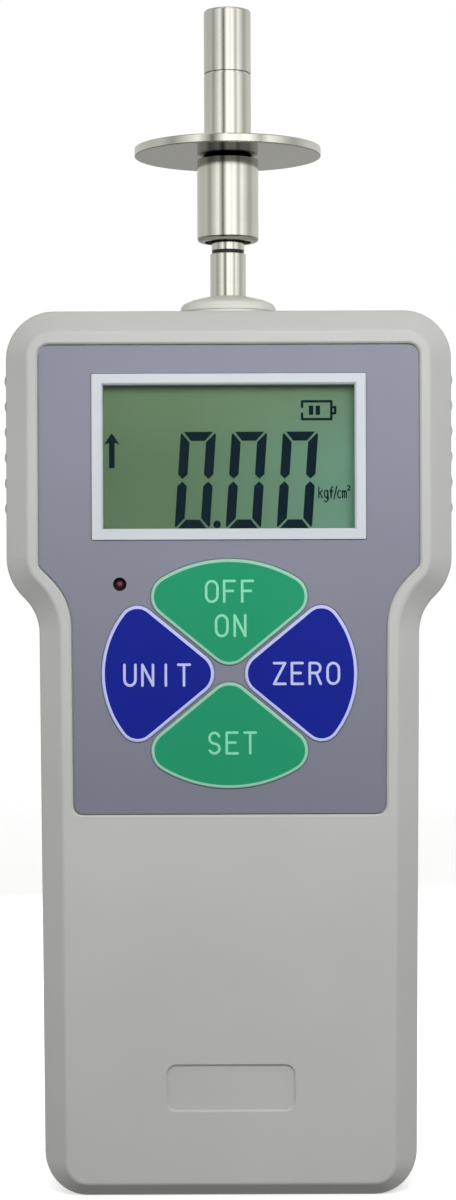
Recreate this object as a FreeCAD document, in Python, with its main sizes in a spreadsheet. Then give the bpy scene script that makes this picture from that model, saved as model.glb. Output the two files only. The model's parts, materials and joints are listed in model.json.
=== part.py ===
import FreeCAD, Part
import Sketcher
import math
import os

# Digital fruit penetrometer. +Z runs up the load shaft to the plunger tip, the display
# looks towards -Y, and the origin lies in the middle of the flat foot of the case.
# Depths are counted from the front face of the case towards +Y. All lengths are in mm.

SIZES = {
    # case, front view
    "case_tall": 143.5,
    "case_deep": 36.0,
    "head_wide": 72.5,
    "grip_wide": 61.9,
    "foot_wide": 60.4,
    "shoulder_low": 94.4,
    "shoulder_high": 99.7,
    "wall": 2.2,
    "front_wall": 3.0,
    "rear_wall": 2.4,
    "foot_corner": 7.0,
    "waist_corner": 8.0,
    "shoulder_corner": 8.8,
    "top_corner": 7.8,
    "side_bevel": 3.7,
    "foot_bevel": 2.1,
    "bevel_ease": 0.8,
    "inner_corner": 3.4,
    "seam_edge": 0.3,
    # grip ridges on the sides of the head
    "ridge_low": 111.4,
    "ridge_pitch": 4.17,
    "ridge_radius": 1.6,
    "ridge_proud": 0.35,
    # sunk panel that holds the overlay
    "panel_inset": 5.35,
    "panel_top_inset": 5.7,
    "panel_low": 61.7,
    "panel_sunk": 1.0,
    "panel_edge": 0.3,
    "panel_top_corner": 1.8,
    "panel_shoulder_corner": 1.5,
    "panel_waist_corner": 11.0,
    "panel_foot_corner": 1.5,
    "overlay_thick": 0.5,
    "overlay_gap": 0.2,
    "fit": 0.1,
    # label field near the foot
    "label_wide": 20.4,
    "label_tall": 7.1,
    "label_level": 17.6,
    "label_sunk": 0.4,
    "label_edge": 0.3,
    "label_corner": 1.4,
    # display
    "display_level": 119.6,
    "frame_wide": 44.3,
    "frame_tall": 26.8,
    "frame_band": 1.75,
    "frame_front": 0.15,
    "frame_corner": 0.25,
    "view_edge": 0.3,
    "skirt_step": 0.9,
    "window_front": 1.4,
    "window_thick": 1.5,
    "lcd_wide": 46.0,
    "lcd_tall": 28.4,
    "lcd_thick": 2.8,
    "light_lift": 2.4,
    "pin_side": 0.5,
    "pin_pitch": 2.54,
    "pin_tail": 0.8,
    "pin_hole": 1.0,
    # keys round the middle of the key pad
    "pad_level": 84.5,
    "key_slope": 39.5,
    "key_gap": 0.45,
    "tall_reach": 19.45,
    "tall_far": 18.57,
    "wide_reach": 19.4,
    "wide_far": 20.68,
    "key_apex_round": 3.65,
    "tall_far_round": 3.6,
    "wide_far_round": 3.1,
    "key_front": 0.2,
    "key_thick": 0.9,
    "key_travel": 0.4,
    "key_stop": 0.1,
    "key_edge_round": 0.25,
    "tall_stem_out": 11.5,
    "wide_stem_out": 12.5,
    "stem_radius": 1.7,
    "stem_hole_radius": 1.85,
    "stem_head_radius": 2.6,
    "stem_head_thick": 0.6,
    "rest_gap": 0.05,
    "switch_side": 6.0,
    "switch_thick": 3.4,
    "plunger_radius": 1.75,
    "plunger_in": 0.8,
    # charge lamp
    "lamp_side": 17.7,
    "lamp_level": 99.0,
    "lamp_radius": 1.0,
    "lamp_flange_radius": 1.4,
    "lamp_flange_thick": 0.9,
    "lamp_lens_deep": 4.4,
    "lamp_front": 0.75,
    "lamp_leg": 0.45,
    "lamp_leg_side": 0.7,
    # main board
    "board_wide": 46.4,
    "board_low": 61.5,
    "board_top": 138.5,
    "board_front": 8.2,
    "board_thick": 1.6,
    "board_post_side": 19.0,
    "board_post_inset": 2.4,
    "board_post_radius": 2.3,
    "board_screw_radius": 1.1,
    "board_screw_head_radius": 2.2,
    "board_screw_head": 1.5,
    "board_screw_long": 5.0,
    # case screws, driven from the rear
    "screw_side_top": 27.0,
    "screw_side_foot": 22.0,
    "screw_level_top": 134.5,
    "screw_level_foot": 7.5,
    "front_post_radius": 3.2,
    "rear_post_radius": 4.4,
    "case_screw_radius": 1.4,
    "case_screw_long": 16.0,
    "case_screw_head_radius": 2.7,
    "case_screw_head": 2.0,
    "counterbore": 8.0,
    "counterbore_radius": 2.95,
    # collar and load shaft
    "collar_radius": 8.05,
    "collar_side": 1.4,
    "collar_groove_level": 0.9,
    "collar_groove": 0.22,
    "collar_shoulder_radius": 7.75,
    "collar_shoulder": 2.4,
    "collar_shoulder_round": 1.1,
    "collar_dome_radius": 6.2,
    "collar_dome": 3.05,
    "collar_dome_round": 4.5,
    "collar_tall": 3.75,
    "collar_hub_radius": 5.0,
    "collar_flange": 2.0,
    "collar_flange_radius": 7.0,
    "collar_top_radius": 3.4,
    "shaft_radius": 3.0,
    "shaft_clear": 0.05,
    "shaft_show": 7.37,
    "shaft_chamfer": 0.2,
    "cell_stud_radius": 2.0,
    "cell_stud_long": 7.0,
    "probe_stud_radius": 1.5,
    "probe_stud_long": 6.6,
    "stud_clear": 0.05,
    # washer, adapter, guard disc and plunger tip
    "washer_radius": 2.7,
    "washer_thick": 0.5,
    "washer_edge": 0.12,
    "neck_radius": 2.75,
    "neck_tall": 1.36,
    "cup_radius": 3.9,
    "cup_deep": 1.2,
    "adapter_radius": 5.15,
    "adapter_tall": 14.32,
    "adapter_foot_round": 0.7,
    "adapter_top_run": 1.1,
    "adapter_top_drop": 0.5,
    "guard_radius": 15.65,
    "guard_thick": 1.5,
    "guard_edge": 0.2,
    "tip_radius": 3.95,
    "tip_tall": 23.1,
    "tip_edge": 0.45,
    "mark_down": 10.75,
    "mark_wide": 0.45,
    "mark_deep": 0.35,
    "tip_stud_radius": 2.5,
    "tip_stud_long": 8.0,
    "bore_spare": 0.6,
    # load cell on its bracket
    "cell_wide": 20.0,
    "cell_clear": 1.4,
    "cell_tall": 30.0,
    "cell_slot": 1.6,
    "cell_slot_inset": 8.0,
    "cell_slot_left": 5.0,
    "cell_window_radius": 3.4,
    "gauge_wide": 5.0,
    "gauge_tall": 3.0,
    "gauge_thick": 0.2,
    "ledge_level": 99.6,
    "ledge_thick": 3.0,
    "cell_screw_radius": 2.0,
    "cell_screw_deep": 6.5,
    "cell_screw_head_radius": 3.5,
    "cell_screw_head": 4.0,
    "hex_key": 3.0,
    "plate_wide": 38.0,
    "plate_thick": 3.0,
    "plate_low": 66.0,
    "mount_level": 82.0,
    "mount_wide": 30.0,
    "mount_tall": 24.0,
    "mount_tap_radius": 1.65,
    "mount_clear_radius": 2.25,
    "plate_screw_radius": 1.4,
    "plate_screw_head_radius": 2.8,
    "plate_screw_head": 1.5,
    # battery of six cells
    "battery_low": 14.5,
    "battery_radius": 5.25,
    "battery_tall": 44.5,
    "battery_gap": 0.1,
    "sleeve_thick": 0.35,
    "sleeve_over": 0.5,
    "tab_wide": 5.0,
    "tab_thick": 0.2,
    "foam_wide": 22.0,
    "foam_tall": 30.0,
    # charge socket in the foot
    "socket_back": 8.0,
    "socket_wide": 9.0,
    "socket_deep": 10.0,
    "socket_tall": 9.6,
    "socket_barrel_radius": 3.9,
    "socket_bore_radius": 2.75,
    "socket_bore_deep": 9.0,
    "socket_pin_radius": 1.05,
    "socket_pin_sunk": 1.0,
    # parts on the back of the board
    "chip_side": 10.0,
    "chip_thick": 1.4,
    "chip_level": 72.0,
    "side_chip_side": 13.0,
    "side_chip_level": 87.0,
    "small_chip_wide": 5.0,
    "small_chip_tall": 2.0,
    "small_chip_pitch": 3.3,
    "buzzer_radius": 4.6,
    "buzzer_tall": 6.0,
    "buzzer_side": 14.5,
    "buzzer_level": 93.0,
    "buzzer_vent_radius": 0.9,
    "plug_wide": 5.0,
    "plug_tall": 5.0,
    "plug_deep": 4.0,
    "foot_plug_side": 8.0,
    "foot_plug_level": 70.0,
    "sensor_plug_side": 18.0,
    "sensor_plug_level": 113.1,
    "lead_radius": 0.6,
}
RIDGES = 6
LCD_PINS = 12
SMALL_CHIPS = 4
V = FreeCAD.Vector

doc = FreeCAD.newDocument("FruitPenetrometer")
sheet = doc.addObject("Spreadsheet::Sheet", "Sizes")


class Size:
    """A length and the sheet formula that gives it."""

    def __init__(self, value, formula):
        self.value = value
        self.formula = formula

    def join(self, sign, other, value):
        return Size(value, f"({self.formula} {sign} {other.formula})")

    def __add__(self, other):
        other = size(other)
        return self.join("+", other, self.value + other.value)

    def __sub__(self, other):
        other = size(other)
        return self.join("-", other, self.value - other.value)

    def __mul__(self, other):
        other = size(other)
        return self.join("*", other, self.value * other.value)

    def __truediv__(self, other):
        other = size(other)
        return self.join("/", other, self.value / other.value)

    def __radd__(self, other):
        return size(other) + self

    def __rsub__(self, other):
        return size(other) - self

    def __rmul__(self, other):
        return size(other) * self

    def __neg__(self):
        return Size(-self.value, f"(0 - {self.formula})")


def size(number):
    return number if isinstance(number, Size) else Size(float(number), f"{float(number)}")


def root(square):
    return Size(math.sqrt(square.value), f"sqrt({square.formula})")


def cosine(angle):
    return Size(math.cos(math.radians(angle.value)), f"cos({angle.formula})")


def sine(angle):
    return Size(math.sin(math.radians(angle.value)), f"sin({angle.formula})")


class Sheet:
    """The cells of the sheet, each as a Size with its alias as name."""


d = Sheet()
for row, (alias, number) in enumerate(SIZES.items(), start=1):
    sheet.set(f"A{row}", alias.replace("_", " "))
    sheet.set(f"B{row}", str(number))
    sheet.setAlias(f"B{row}", alias)
    setattr(d, alias, Size(number, f"Sizes.{alias}"))
doc.recompute()

nodes = []


def node(part, label):
    """Give a finished sub-part the name that its file gets."""
    part.Label = label
    nodes.append(part)
    return part


def bind(part, name, length):
    part.setExpression(name, size(length).formula)


def at_depth(depth):
    """The Y of a depth behind the front face of the case."""
    return depth - d.case_deep / 2


# Part primitives

AXES = {
    "+z": FreeCAD.Rotation(),
    "-z": FreeCAD.Rotation(V(1, 0, 0), 180),
    "+y": FreeCAD.Rotation(V(1, 0, 0), -90),
    "-y": FreeCAD.Rotation(V(1, 0, 0), 90),
}


def place(part, point, axis="+z"):
    part.Placement = FreeCAD.Placement(V(*[size(c).value for c in point]), AXES[axis])
    for name, coordinate in zip("xyz", point):
        bind(part, f"Placement.Base.{name}", coordinate)
    return part


def box(name, low, high):
    part = doc.addObject("Part::Box", name)
    for side, start, end in zip(("Length", "Width", "Height"), low, high):
        bind(part, side, size(end) - start)
    return place(part, low)


def cylinder(name, point, radius, length, axis="+z"):
    part = doc.addObject("Part::Cylinder", name)
    bind(part, "Radius", radius)
    bind(part, "Height", length)
    return place(part, point, axis)


def fuse(name, *parts):
    joined = doc.addObject("Part::MultiFuse", name)
    joined.Shapes = list(parts)
    joined.Refine = True
    return joined


def cut(name, base, *tools):
    part = doc.addObject("Part::Cut", name)
    part.Base = base
    part.Tool = tools[0] if len(tools) == 1 else fuse(name + "Tools", *tools)
    return part


def group(name, parts):
    together = doc.addObject("Part::Compound", name)
    together.Links = list(parts)
    return together


# Sketches and PartDesign features

def new_body(name):
    return doc.addObject("PartDesign::Body", name)


def sketch_on(body, name, role="XZ_Plane", offset=0):
    """A sketch on one of the body's own origin planes; XZ looks towards -Y."""
    sketch = body.newObject("Sketcher::SketchObject", name)
    plane = next(f for f in body.Origin.OriginFeatures if f.Role == role)
    sketch.AttachmentSupport = (plane, "")
    sketch.MapMode = "FlatFace"
    bind(sketch, "AttachmentOffset.Base.z", offset)
    return sketch


def fix(sketch, geometry, position, point):
    """Hold a point of the sketch at two distances from the origin, bound to the sheet."""
    for kind, axis, coordinate in zip(("DistanceX", "DistanceY"), (-2, -1), point):
        if isinstance(coordinate, Size):
            index = sketch.addConstraint(
                Sketcher.Constraint(kind, -1, 1, geometry, position, coordinate.value))
            sketch.setExpression(f"Constraints[{index}]", coordinate.formula)
        else:
            sketch.addConstraint(Sketcher.Constraint("PointOnObject", geometry, position, axis))


def loop(sketch, points, through=None):
    """A closed outline; through maps the number of a side to the point its arc passes."""
    through = through or {}
    spots = [V(size(x).value, size(y).value, 0) for x, y in points]
    sides = []
    for i, start in enumerate(spots):
        end = spots[(i + 1) % len(spots)]
        if i in through:
            middle = V(*[size(c).value for c in through[i]], 0)
            arc = Part.Arc(start, middle, end)
            index = sketch.addGeometry(arc, False)
            first = sketch.getPoint(index, 1)
            from_start = (first - start).Length < (first - end).Length
            sides.append((index, 1 if from_start else 2, 2 if from_start else 1))
            mark = sketch.addGeometry(Part.Point(middle), True)
            fix(sketch, mark, 1, through[i])
            sketch.addConstraint(Sketcher.Constraint("PointOnObject", mark, 1, index))
        else:
            sides.append((sketch.addGeometry(Part.LineSegment(start, end), False), 1, 2))
    for i, (index, start, end) in enumerate(sides):
        following = sides[(i + 1) % len(sides)]
        sketch.addConstraint(Sketcher.Constraint("Coincident", index, end, following[0], following[1]))
        fix(sketch, index, start, points[i])


def circle(sketch, centre, radius):
    spot = V(size(centre[0]).value, size(centre[1]).value, 0)
    index = sketch.addGeometry(Part.Circle(spot, V(0, 0, 1), radius.value), False)
    fix(sketch, index, 3, centre)
    radius_index = sketch.addConstraint(Sketcher.Constraint("Radius", index, radius.value))
    sketch.setExpression(f"Constraints[{radius_index}]", radius.formula)


def rectangle(sketch, centre, wide, tall):
    x, y = centre
    loop(sketch, [(x - wide / 2, y - tall / 2), (x + wide / 2, y - tall / 2),
                  (x + wide / 2, y + tall / 2), (x - wide / 2, y + tall / 2)])


def rounded_rectangle(sketch, half_wide, half_tall, corner):
    """A rectangle about the origin with round corners."""
    in_x = half_wide - corner
    in_y = half_tall - corner
    slant = corner / root(size(2))
    points = []
    through = {}
    for x_way, y_way, x_first in ((1, -1, True), (1, 1, False), (-1, 1, True), (-1, -1, False)):
        low = (in_x * x_way, half_tall * y_way)
        side = (half_wide * x_way, in_y * y_way)
        points += [low, side] if x_first else [side, low]
        through[len(points) - 2] = ((in_x + slant) * x_way, (in_y + slant) * y_way)
    loop(sketch, points, through)


def pad(body, name, sketch, length, reverse=False):
    """Add material along the sketch's normal, or against it."""
    feature = body.newObject("PartDesign::Pad", name)
    feature.Profile = sketch
    feature.Reversed = reverse
    bind(feature, "Length", length)
    doc.recompute()
    return feature


def pocket(body, name, sketch, length, reverse=False):
    """Cut against the sketch's normal, or along it, and make sure that something was cut."""
    before = body.Shape.Volume
    feature = body.newObject("PartDesign::Pocket", name)
    feature.Profile = sketch
    feature.Reversed = reverse
    bind(feature, "Length", length)
    doc.recompute()
    if feature.Shape.isNull() or feature.Shape.Volume > before - 1e-6:
        raise RuntimeError(f"{body.Name}.{name} cuts nothing")
    return feature


def revolve(body, name, sketch):
    feature = body.newObject("PartDesign::Revolution", name)
    feature.Profile = sketch
    feature.ReferenceAxis = (sketch, ["V_Axis"])
    feature.Angle = 360
    doc.recompute()
    return feature


def edge_names(shape, wanted):
    return [f"Edge{i}" for i, edge in enumerate(shape.Edges, start=1) if wanted(edge)]


def along_y(points, near_y=None):
    """Picks the edges that run along Y through one of the given (x, z) points."""
    def wanted(edge):
        box_ = edge.BoundBox
        if box_.YLength < 0.01 or box_.XLength > 0.01 or box_.ZLength > 0.01:
            return False
        if near_y is not None and not box_.YMin - 0.02 < near_y.value < box_.YMax + 0.02:
            return False
        centre = box_.Center
        return any(abs(centre.x - size(x).value) < 0.01 and abs(centre.z - size(z).value) < 0.01
                   for x, z in points)
    return wanted


def ring_at(radius, level):
    """Picks the circle of a radius about the Z axis at a level."""
    def wanted(edge):
        box_ = edge.BoundBox
        return (abs(box_.XLength / 2 - radius.value) < 0.01 and box_.ZLength < 0.01
                and abs(box_.Center.z - level.value) < 0.01)
    return wanted


def dress(body, kind, name, wanted, amount):
    """A Fillet or Chamfer on the edges of the body that are wanted."""
    base = body.Tip
    edges = edge_names(base.Shape, wanted)
    if not edges:
        raise RuntimeError(f"{body.Name}.{name} finds no edge")
    feature = body.newObject(f"PartDesign::{kind}", name)
    feature.Base = (base, edges)
    bind(feature, "Radius" if kind == "Fillet" else "Size", amount)
    doc.recompute()
    return feature


def turned(label, profile):
    """A piece turned about the Z axis from its half profile of (radius, level) points."""
    body = new_body(label.title().replace("_", ""))
    sketch = sketch_on(body, "Profile")
    loop(sketch, profile)
    revolve(body, "Turning", sketch)
    return body


# Outlines shared by several pieces

def case_outline(inset, top_inset, low):
    """The eight corners of the case outline above a level, moved inwards: low right corner first."""
    run = (d.head_wide - d.grip_wide) / 2
    rise = d.shoulder_high - d.shoulder_low
    lean = (root(run * run + rise * rise) - rise) / run
    flare = (d.grip_wide - d.foot_wide) / 2 * (size(low) / d.shoulder_low)
    right = [
        (d.foot_wide / 2 + flare - inset, low),
        (d.grip_wide / 2 - inset, d.shoulder_low + lean * inset),
        (d.head_wide / 2 - inset, d.shoulder_high + lean * inset),
        (d.head_wide / 2 - inset, d.case_tall - top_inset),
    ]
    return right + [(-x, z) for x, z in reversed(right)]


def cavity_outline():
    """The hollow of the case: its outline moved in by the wall, with the corners cut off."""
    right = case_outline(d.wall, d.wall, d.wall)[:4]
    (foot_x, foot_z), waist, shoulder, (top_x, top_z) = right
    slant = (waist[0] - foot_x) / (waist[1] - foot_z)
    points = [
        (foot_x - d.inner_corner, foot_z),
        (foot_x + slant * d.inner_corner, foot_z + d.inner_corner),
        waist,
        shoulder,
        (top_x, top_z - d.inner_corner),
        (top_x - d.inner_corner, top_z),
    ]
    return points + [(-x, z) for x, z in reversed(points)]


KEYS = {"on_off": (0, 1), "set": (0, -1), "unit": (-1, 0), "zero": (1, 0)}


def key_corners(name, grow):
    """Apex, two outer corners and the middle of the curved outer side of a key."""
    across, up = KEYS[name]
    is_tall = up != 0
    reach = (d.tall_reach if is_tall else d.wide_reach) + grow
    far = (d.tall_far if is_tall else d.wide_far) + grow
    half_angle = 90 - d.key_slope if is_tall else size(0) + d.key_slope
    shift = d.key_gap / 2 - grow
    apex = shift / sine(half_angle)
    out = reach * cosine(half_angle) + shift * sine(half_angle)
    side = reach * sine(half_angle) - shift * cosine(half_angle)
    if is_tall:
        spots = [(0, apex * up), (side * up, out * up), (-side * up, out * up), (0, far * up)]
    else:
        spots = [(apex * across, 0), (out * across, -side * across), (out * across, side * across),
                 (far * across, 0)]
    return [(x, d.pad_level + z) for x, z in spots]


def key_loop(sketch, name, grow):
    apex, first, second, middle = key_corners(name, grow)
    loop(sketch, [apex, first, second], through={1: middle})


def stem_centre(name):
    across, up = KEYS[name]
    if up:
        return (0, d.pad_level + d.tall_stem_out * up)
    return (d.wide_stem_out * across, d.pad_level)


def round_keys(body, names, grow, near_y):
    """Round the three corners of each key outline in a body."""
    apexes = [key_corners(name, grow)[0] for name in names]
    dress(body, "Fillet", "KeyApexes", along_y(apexes, near_y), d.key_apex_round + grow)
    for label, is_tall, rounding in (("TallCorners", True, d.tall_far_round),
                                     ("WideCorners", False, d.wide_far_round)):
        corners = [spot for name in names if (KEYS[name][1] != 0) == is_tall
                   for spot in key_corners(name, grow)[1:3]]
        if corners:
            dress(body, "Fillet", label, along_y(corners, near_y), rounding + grow)


# Case covers

case_top = d.case_tall
case_screws = [(side * s, level) for s in (1, -1) for side, level in
               ((d.screw_side_top, d.screw_level_top), (d.screw_side_foot, d.screw_level_foot))]
board_posts = [(d.board_post_side * s, level) for s in (1, -1) for level in
               (d.board_low + d.board_post_inset, d.board_top - d.board_post_inset)]
lamp_spot = (-d.lamp_side, d.lamp_level)


def round_case(body, corners):
    """Round the corners of the case outline in a body."""
    radii = (d.foot_corner, d.waist_corner, d.shoulder_corner, d.top_corner)
    for i, (name, radius) in enumerate(zip(("Foot", "Waist", "Shoulder", "Top"), radii)):
        dress(body, "Fillet", name + "Corners", along_y([corners[i], corners[7 - i]]), radius)


def cover_block(body, to_rear):
    """The outside of one half of the case with its side ridges, still solid."""
    outline = sketch_on(body, "Outline")
    corners = case_outline(size(0), size(0), 0)
    loop(outline, corners)
    pad(body, "Block", outline, d.case_deep / 2, reverse=to_rear)
    round_case(body, corners)
    dress(body, "Chamfer", "SeamEdge",
          lambda e: abs(e.BoundBox.YMin) < 0.001 and e.BoundBox.YLength < 0.001, d.seam_edge)
    ridges = sketch_on(body, "RidgeEnds", offset=-d.seam_edge if to_rear else d.seam_edge)
    ridge_x = d.head_wide / 2 + d.ridge_proud - d.ridge_radius
    for i in range(RIDGES):
        for side in (1, -1):
            circle(ridges, (ridge_x * side, d.ridge_low + d.ridge_pitch * i), d.ridge_radius)
    ridge_long = d.case_deep / 2 - d.side_bevel - d.ridge_radius - d.seam_edge
    pad(body, "Ridges", ridges, ridge_long, reverse=to_rear)


def hollow(body, end_wall, to_rear):
    """The hollow of one half of the case, and the opening for the shaft collar."""
    inside = sketch_on(body, "Inside")
    loop(inside, cavity_outline())
    pocket(body, "Hollow", inside, d.case_deep / 2 - end_wall, reverse=not to_rear)
    neck = sketch_on(body, "CollarRing", role="XY_Plane", offset=case_top + d.fit)
    circle(neck, (0, 0), d.collar_hub_radius + d.fit)
    pocket(body, "CollarOpening", neck, d.wall + d.fit * 2)


def bevelled_cover(label, body, to_rear):
    """Bevel the outer edge of a cover: wide along the sides and the top, narrow along the foot."""
    half = d.case_deep / 2
    face_y = half.value * (1 if to_rear else -1)
    blank = new_body(body.Name + "Bevel")
    outline = sketch_on(blank, "Outline")
    corners = case_outline(size(0), size(0), d.foot_bevel - d.side_bevel)
    loop(outline, corners)
    pad(blank, "Block", outline, half, reverse=to_rear)
    round_case(blank, corners)
    dress(blank, "Chamfer", "Bevel", lambda e: abs(e.BoundBox.Center.y - face_y) < 0.001
          and e.BoundBox.YLength < 0.001, d.side_bevel)
    ends = (abs(face_y), abs(face_y) - d.side_bevel.value)
    dress(blank, "Fillet", "BevelEase", lambda e: e.BoundBox.YLength < 0.001
          and min(abs(abs(e.BoundBox.Center.y) - end) for end in ends) < 0.001, d.bevel_ease)
    deep = d.side_bevel + d.bevel_ease
    near, far = (half - deep, half + d.bevel_ease) if to_rear else (-half - d.bevel_ease, deep - half)
    wide = d.head_wide / 2 + d.bevel_ease
    slab = box(body.Name + "Slab", (-wide, near, -d.side_bevel), (wide, far, case_top + d.side_bevel))
    rim = cut(body.Name + "Rim", slab, blank)
    return node(cut(label.title().replace("_", ""), body, rim), label)


def front_cover():
    body = new_body("FrontShell")
    front = d.case_deep / 2
    cover_block(body, to_rear=False)
    hollow(body, d.front_wall, to_rear=False)

    posts = sketch_on(body, "CasePosts")
    for spot in case_screws:
        circle(posts, spot, d.front_post_radius)
    pad(body, "CasePostPads", posts, front - d.front_wall + d.fit)
    pilots = sketch_on(body, "CasePilots")
    for spot in case_screws:
        circle(pilots, spot, d.case_screw_radius + d.stud_clear)
    pocket(body, "CasePilotHoles", pilots, d.case_screw_long - d.counterbore, reverse=True)

    supports = sketch_on(body, "BoardPosts", offset=front - d.board_front)
    for spot in board_posts:
        circle(supports, spot, d.board_post_radius)
    pad(body, "BoardPostPads", supports, d.board_front - d.front_wall + d.fit)
    pilots = sketch_on(body, "BoardPilots", offset=front - d.board_front)
    for spot in board_posts:
        circle(pilots, spot, d.board_screw_radius + d.stud_clear)
    pocket(body, "BoardPilotHoles", pilots, d.board_screw_long - d.board_thick + d.stud_clear, reverse=True)

    corners = case_outline(d.panel_inset, d.panel_top_inset, d.panel_low)
    panel = sketch_on(body, "PanelOutline", offset=front)
    loop(panel, corners)
    pocket(body, "PanelRecess", panel, d.panel_sunk)
    round_panel(body, corners, at_depth(d.panel_sunk / 2))
    dress(body, "Chamfer", "PanelEdge", front_rim(size(0), (d.panel_low + case_top - d.panel_top_inset) / 2,
          d.head_wide - d.panel_inset * 2, case_top - d.panel_top_inset - d.panel_low), d.panel_edge)

    key_floor = d.key_front + d.key_thick + d.key_travel + d.key_stop
    wells = sketch_on(body, "KeyWells", offset=front - d.panel_sunk)
    for name in KEYS:
        key_loop(wells, name, d.fit)
    pocket(body, "KeyWellPocket", wells, key_floor - d.panel_sunk)
    round_keys(body, KEYS, d.fit, at_depth((key_floor + d.panel_sunk) / 2))

    openings = sketch_on(body, "Openings", offset=front)
    rectangle(openings, (0, d.display_level), d.frame_wide - d.skirt_step * 2 + d.fit * 2,
              d.frame_tall - d.skirt_step * 2 + d.fit * 2)
    circle(openings, lamp_spot, d.lamp_radius + d.fit)
    for name in KEYS:
        circle(openings, stem_centre(name), d.stem_hole_radius)
    pocket(body, "ThroughOpenings", openings, d.front_wall + d.fit)

    field = sketch_on(body, "LabelOutline", offset=front)
    rectangle(field, (0, d.label_level), d.label_wide, d.label_tall)
    pocket(body, "LabelField", field, d.label_sunk)
    spots = [(d.label_wide / 2 * s, d.label_level + d.label_tall / 2 * t) for s in (1, -1) for t in (1, -1)]
    dress(body, "Fillet", "LabelCorners", along_y(spots, at_depth(d.label_sunk / 2)), d.label_corner)
    dress(body, "Chamfer", "LabelEdge", front_rim(size(0), d.label_level, d.label_wide, d.label_tall),
          d.label_edge)
    return bevelled_cover("front_cover", body, to_rear=False)


def front_rim(x, z, wide, tall):
    """Picks the edges in the front face of the case that lie within a rectangle."""
    def wanted(edge):
        box_ = edge.BoundBox
        return (abs(box_.YMin - at_depth(0).value) < 0.001 and box_.YLength < 0.001
                and box_.XMin > (x - wide / 2).value - 0.01 and box_.XMax < (x + wide / 2).value + 0.01
                and box_.ZMin > (z - tall / 2).value - 0.01 and box_.ZMax < (z + tall / 2).value + 0.01)
    return wanted


def round_panel(body, corners, near_y):
    radii = (d.panel_foot_corner, d.panel_waist_corner, d.panel_shoulder_corner, d.panel_top_corner)
    for i, (name, radius) in enumerate(zip(("Foot", "Waist", "Shoulder", "Top"), radii)):
        dress(body, "Fillet", f"Panel{name}Corners", along_y([corners[i], corners[7 - i]], near_y), radius)


mounts = [(d.mount_wide / 2 * s, d.mount_level + d.mount_tall / 2 * t) for s in (1, -1) for t in (1, -1)]
plate_screw_spots = [(0, d.mount_level + d.mount_tall / 2 * t) for t in (1, -1)]


def rear_cover():
    body = new_body("RearShell")
    rear = d.case_deep / 2
    cover_block(body, to_rear=True)
    hollow(body, d.rear_wall, to_rear=True)

    posts = sketch_on(body, "CasePosts")
    for spot in case_screws:
        circle(posts, spot, d.rear_post_radius)
    pad(body, "CasePostPads", posts, rear - d.rear_wall + d.fit, reverse=True)
    shanks = sketch_on(body, "CaseScrewHoles")
    for spot in case_screws:
        circle(shanks, spot, d.case_screw_radius + d.fit)
    pocket(body, "CaseScrewPaths", shanks, rear)
    heads = sketch_on(body, "CaseCounterbores", offset=-rear)
    for spot in case_screws:
        circle(heads, spot, d.counterbore_radius)
    pocket(body, "Counterbores", heads, rear - d.counterbore, reverse=True)

    holes = sketch_on(body, "MountHoles", offset=-rear)
    for spot in mounts:
        circle(holes, spot, d.mount_clear_radius)
    for spot in plate_screw_spots:
        circle(holes, spot, d.plate_screw_radius + d.fit)
    pocket(body, "MountOpenings", holes, d.rear_wall + d.fit, reverse=True)
    sinks = sketch_on(body, "SinkRings", offset=-rear)
    for spot in plate_screw_spots:
        circle(sinks, spot, d.plate_screw_head_radius + d.fit)
    pocket(body, "ScrewSinks", sinks, d.plate_screw_head, reverse=True)

    way = sketch_on(body, "SocketRing", role="XY_Plane", offset=d.wall + d.fit)
    circle(way, (0, d.socket_back), d.socket_barrel_radius + d.fit)
    pocket(body, "SocketOpening", way, d.wall + d.fit * 2)
    return bevelled_cover("rear_cover", body, to_rear=True)


# Panel: overlay, keys, display and lamp

def panel_overlay():
    body = new_body("Overlay")
    back = d.case_deep / 2 - d.panel_sunk
    sheet_sketch = sketch_on(body, "Outline", offset=back)
    gap = d.overlay_gap
    corners = case_outline(d.panel_inset + gap, d.panel_top_inset + gap, d.panel_low + gap)
    loop(sheet_sketch, corners)
    pad(body, "FilmSheet", sheet_sketch, d.overlay_thick)
    round_panel(body, corners, at_depth(d.panel_sunk - d.overlay_thick / 2))
    openings = sketch_on(body, "Openings", offset=back + d.overlay_thick)
    rectangle(openings, (0, d.display_level), d.frame_wide + d.fit * 2, d.frame_tall + d.fit * 2)
    circle(openings, lamp_spot, d.lamp_radius + d.fit)
    for name in KEYS:
        key_loop(openings, name, d.fit)
    pocket(body, "FilmOpenings", openings, d.overlay_thick + d.fit)
    round_keys(body, KEYS, d.fit, at_depth(d.panel_sunk - d.overlay_thick / 2))
    return node(body, "panel_overlay")


def key(name):
    body = new_body("Key" + name.title().replace("_", ""))
    front = d.case_deep / 2
    outline = sketch_on(body, "Outline", offset=front - d.key_front - d.key_thick)
    key_loop(outline, name, size(0))
    pad(body, "Cap", outline, d.key_thick)
    round_keys(body, [name], size(0), at_depth(d.key_front + d.key_thick / 2))
    face_y = at_depth(d.key_front).value
    dress(body, "Fillet", "CapEdge", lambda e: abs(e.BoundBox.YMax - face_y) < 0.001
          and e.BoundBox.YLength < 0.001, d.key_edge_round)
    stem_end = d.front_wall + d.rest_gap + d.stem_head_thick
    stem = sketch_on(body, "StemRing", offset=front - stem_end)
    circle(stem, stem_centre(name), d.stem_radius)
    pad(body, "Stem", stem, stem_end - d.key_front - d.key_thick / 2)
    head = sketch_on(body, "StemHeadRing", offset=front - stem_end)
    circle(head, stem_centre(name), d.stem_head_radius)
    pad(body, "StemHead", head, d.stem_head_thick)
    return node(body, "key_" + name)


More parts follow.
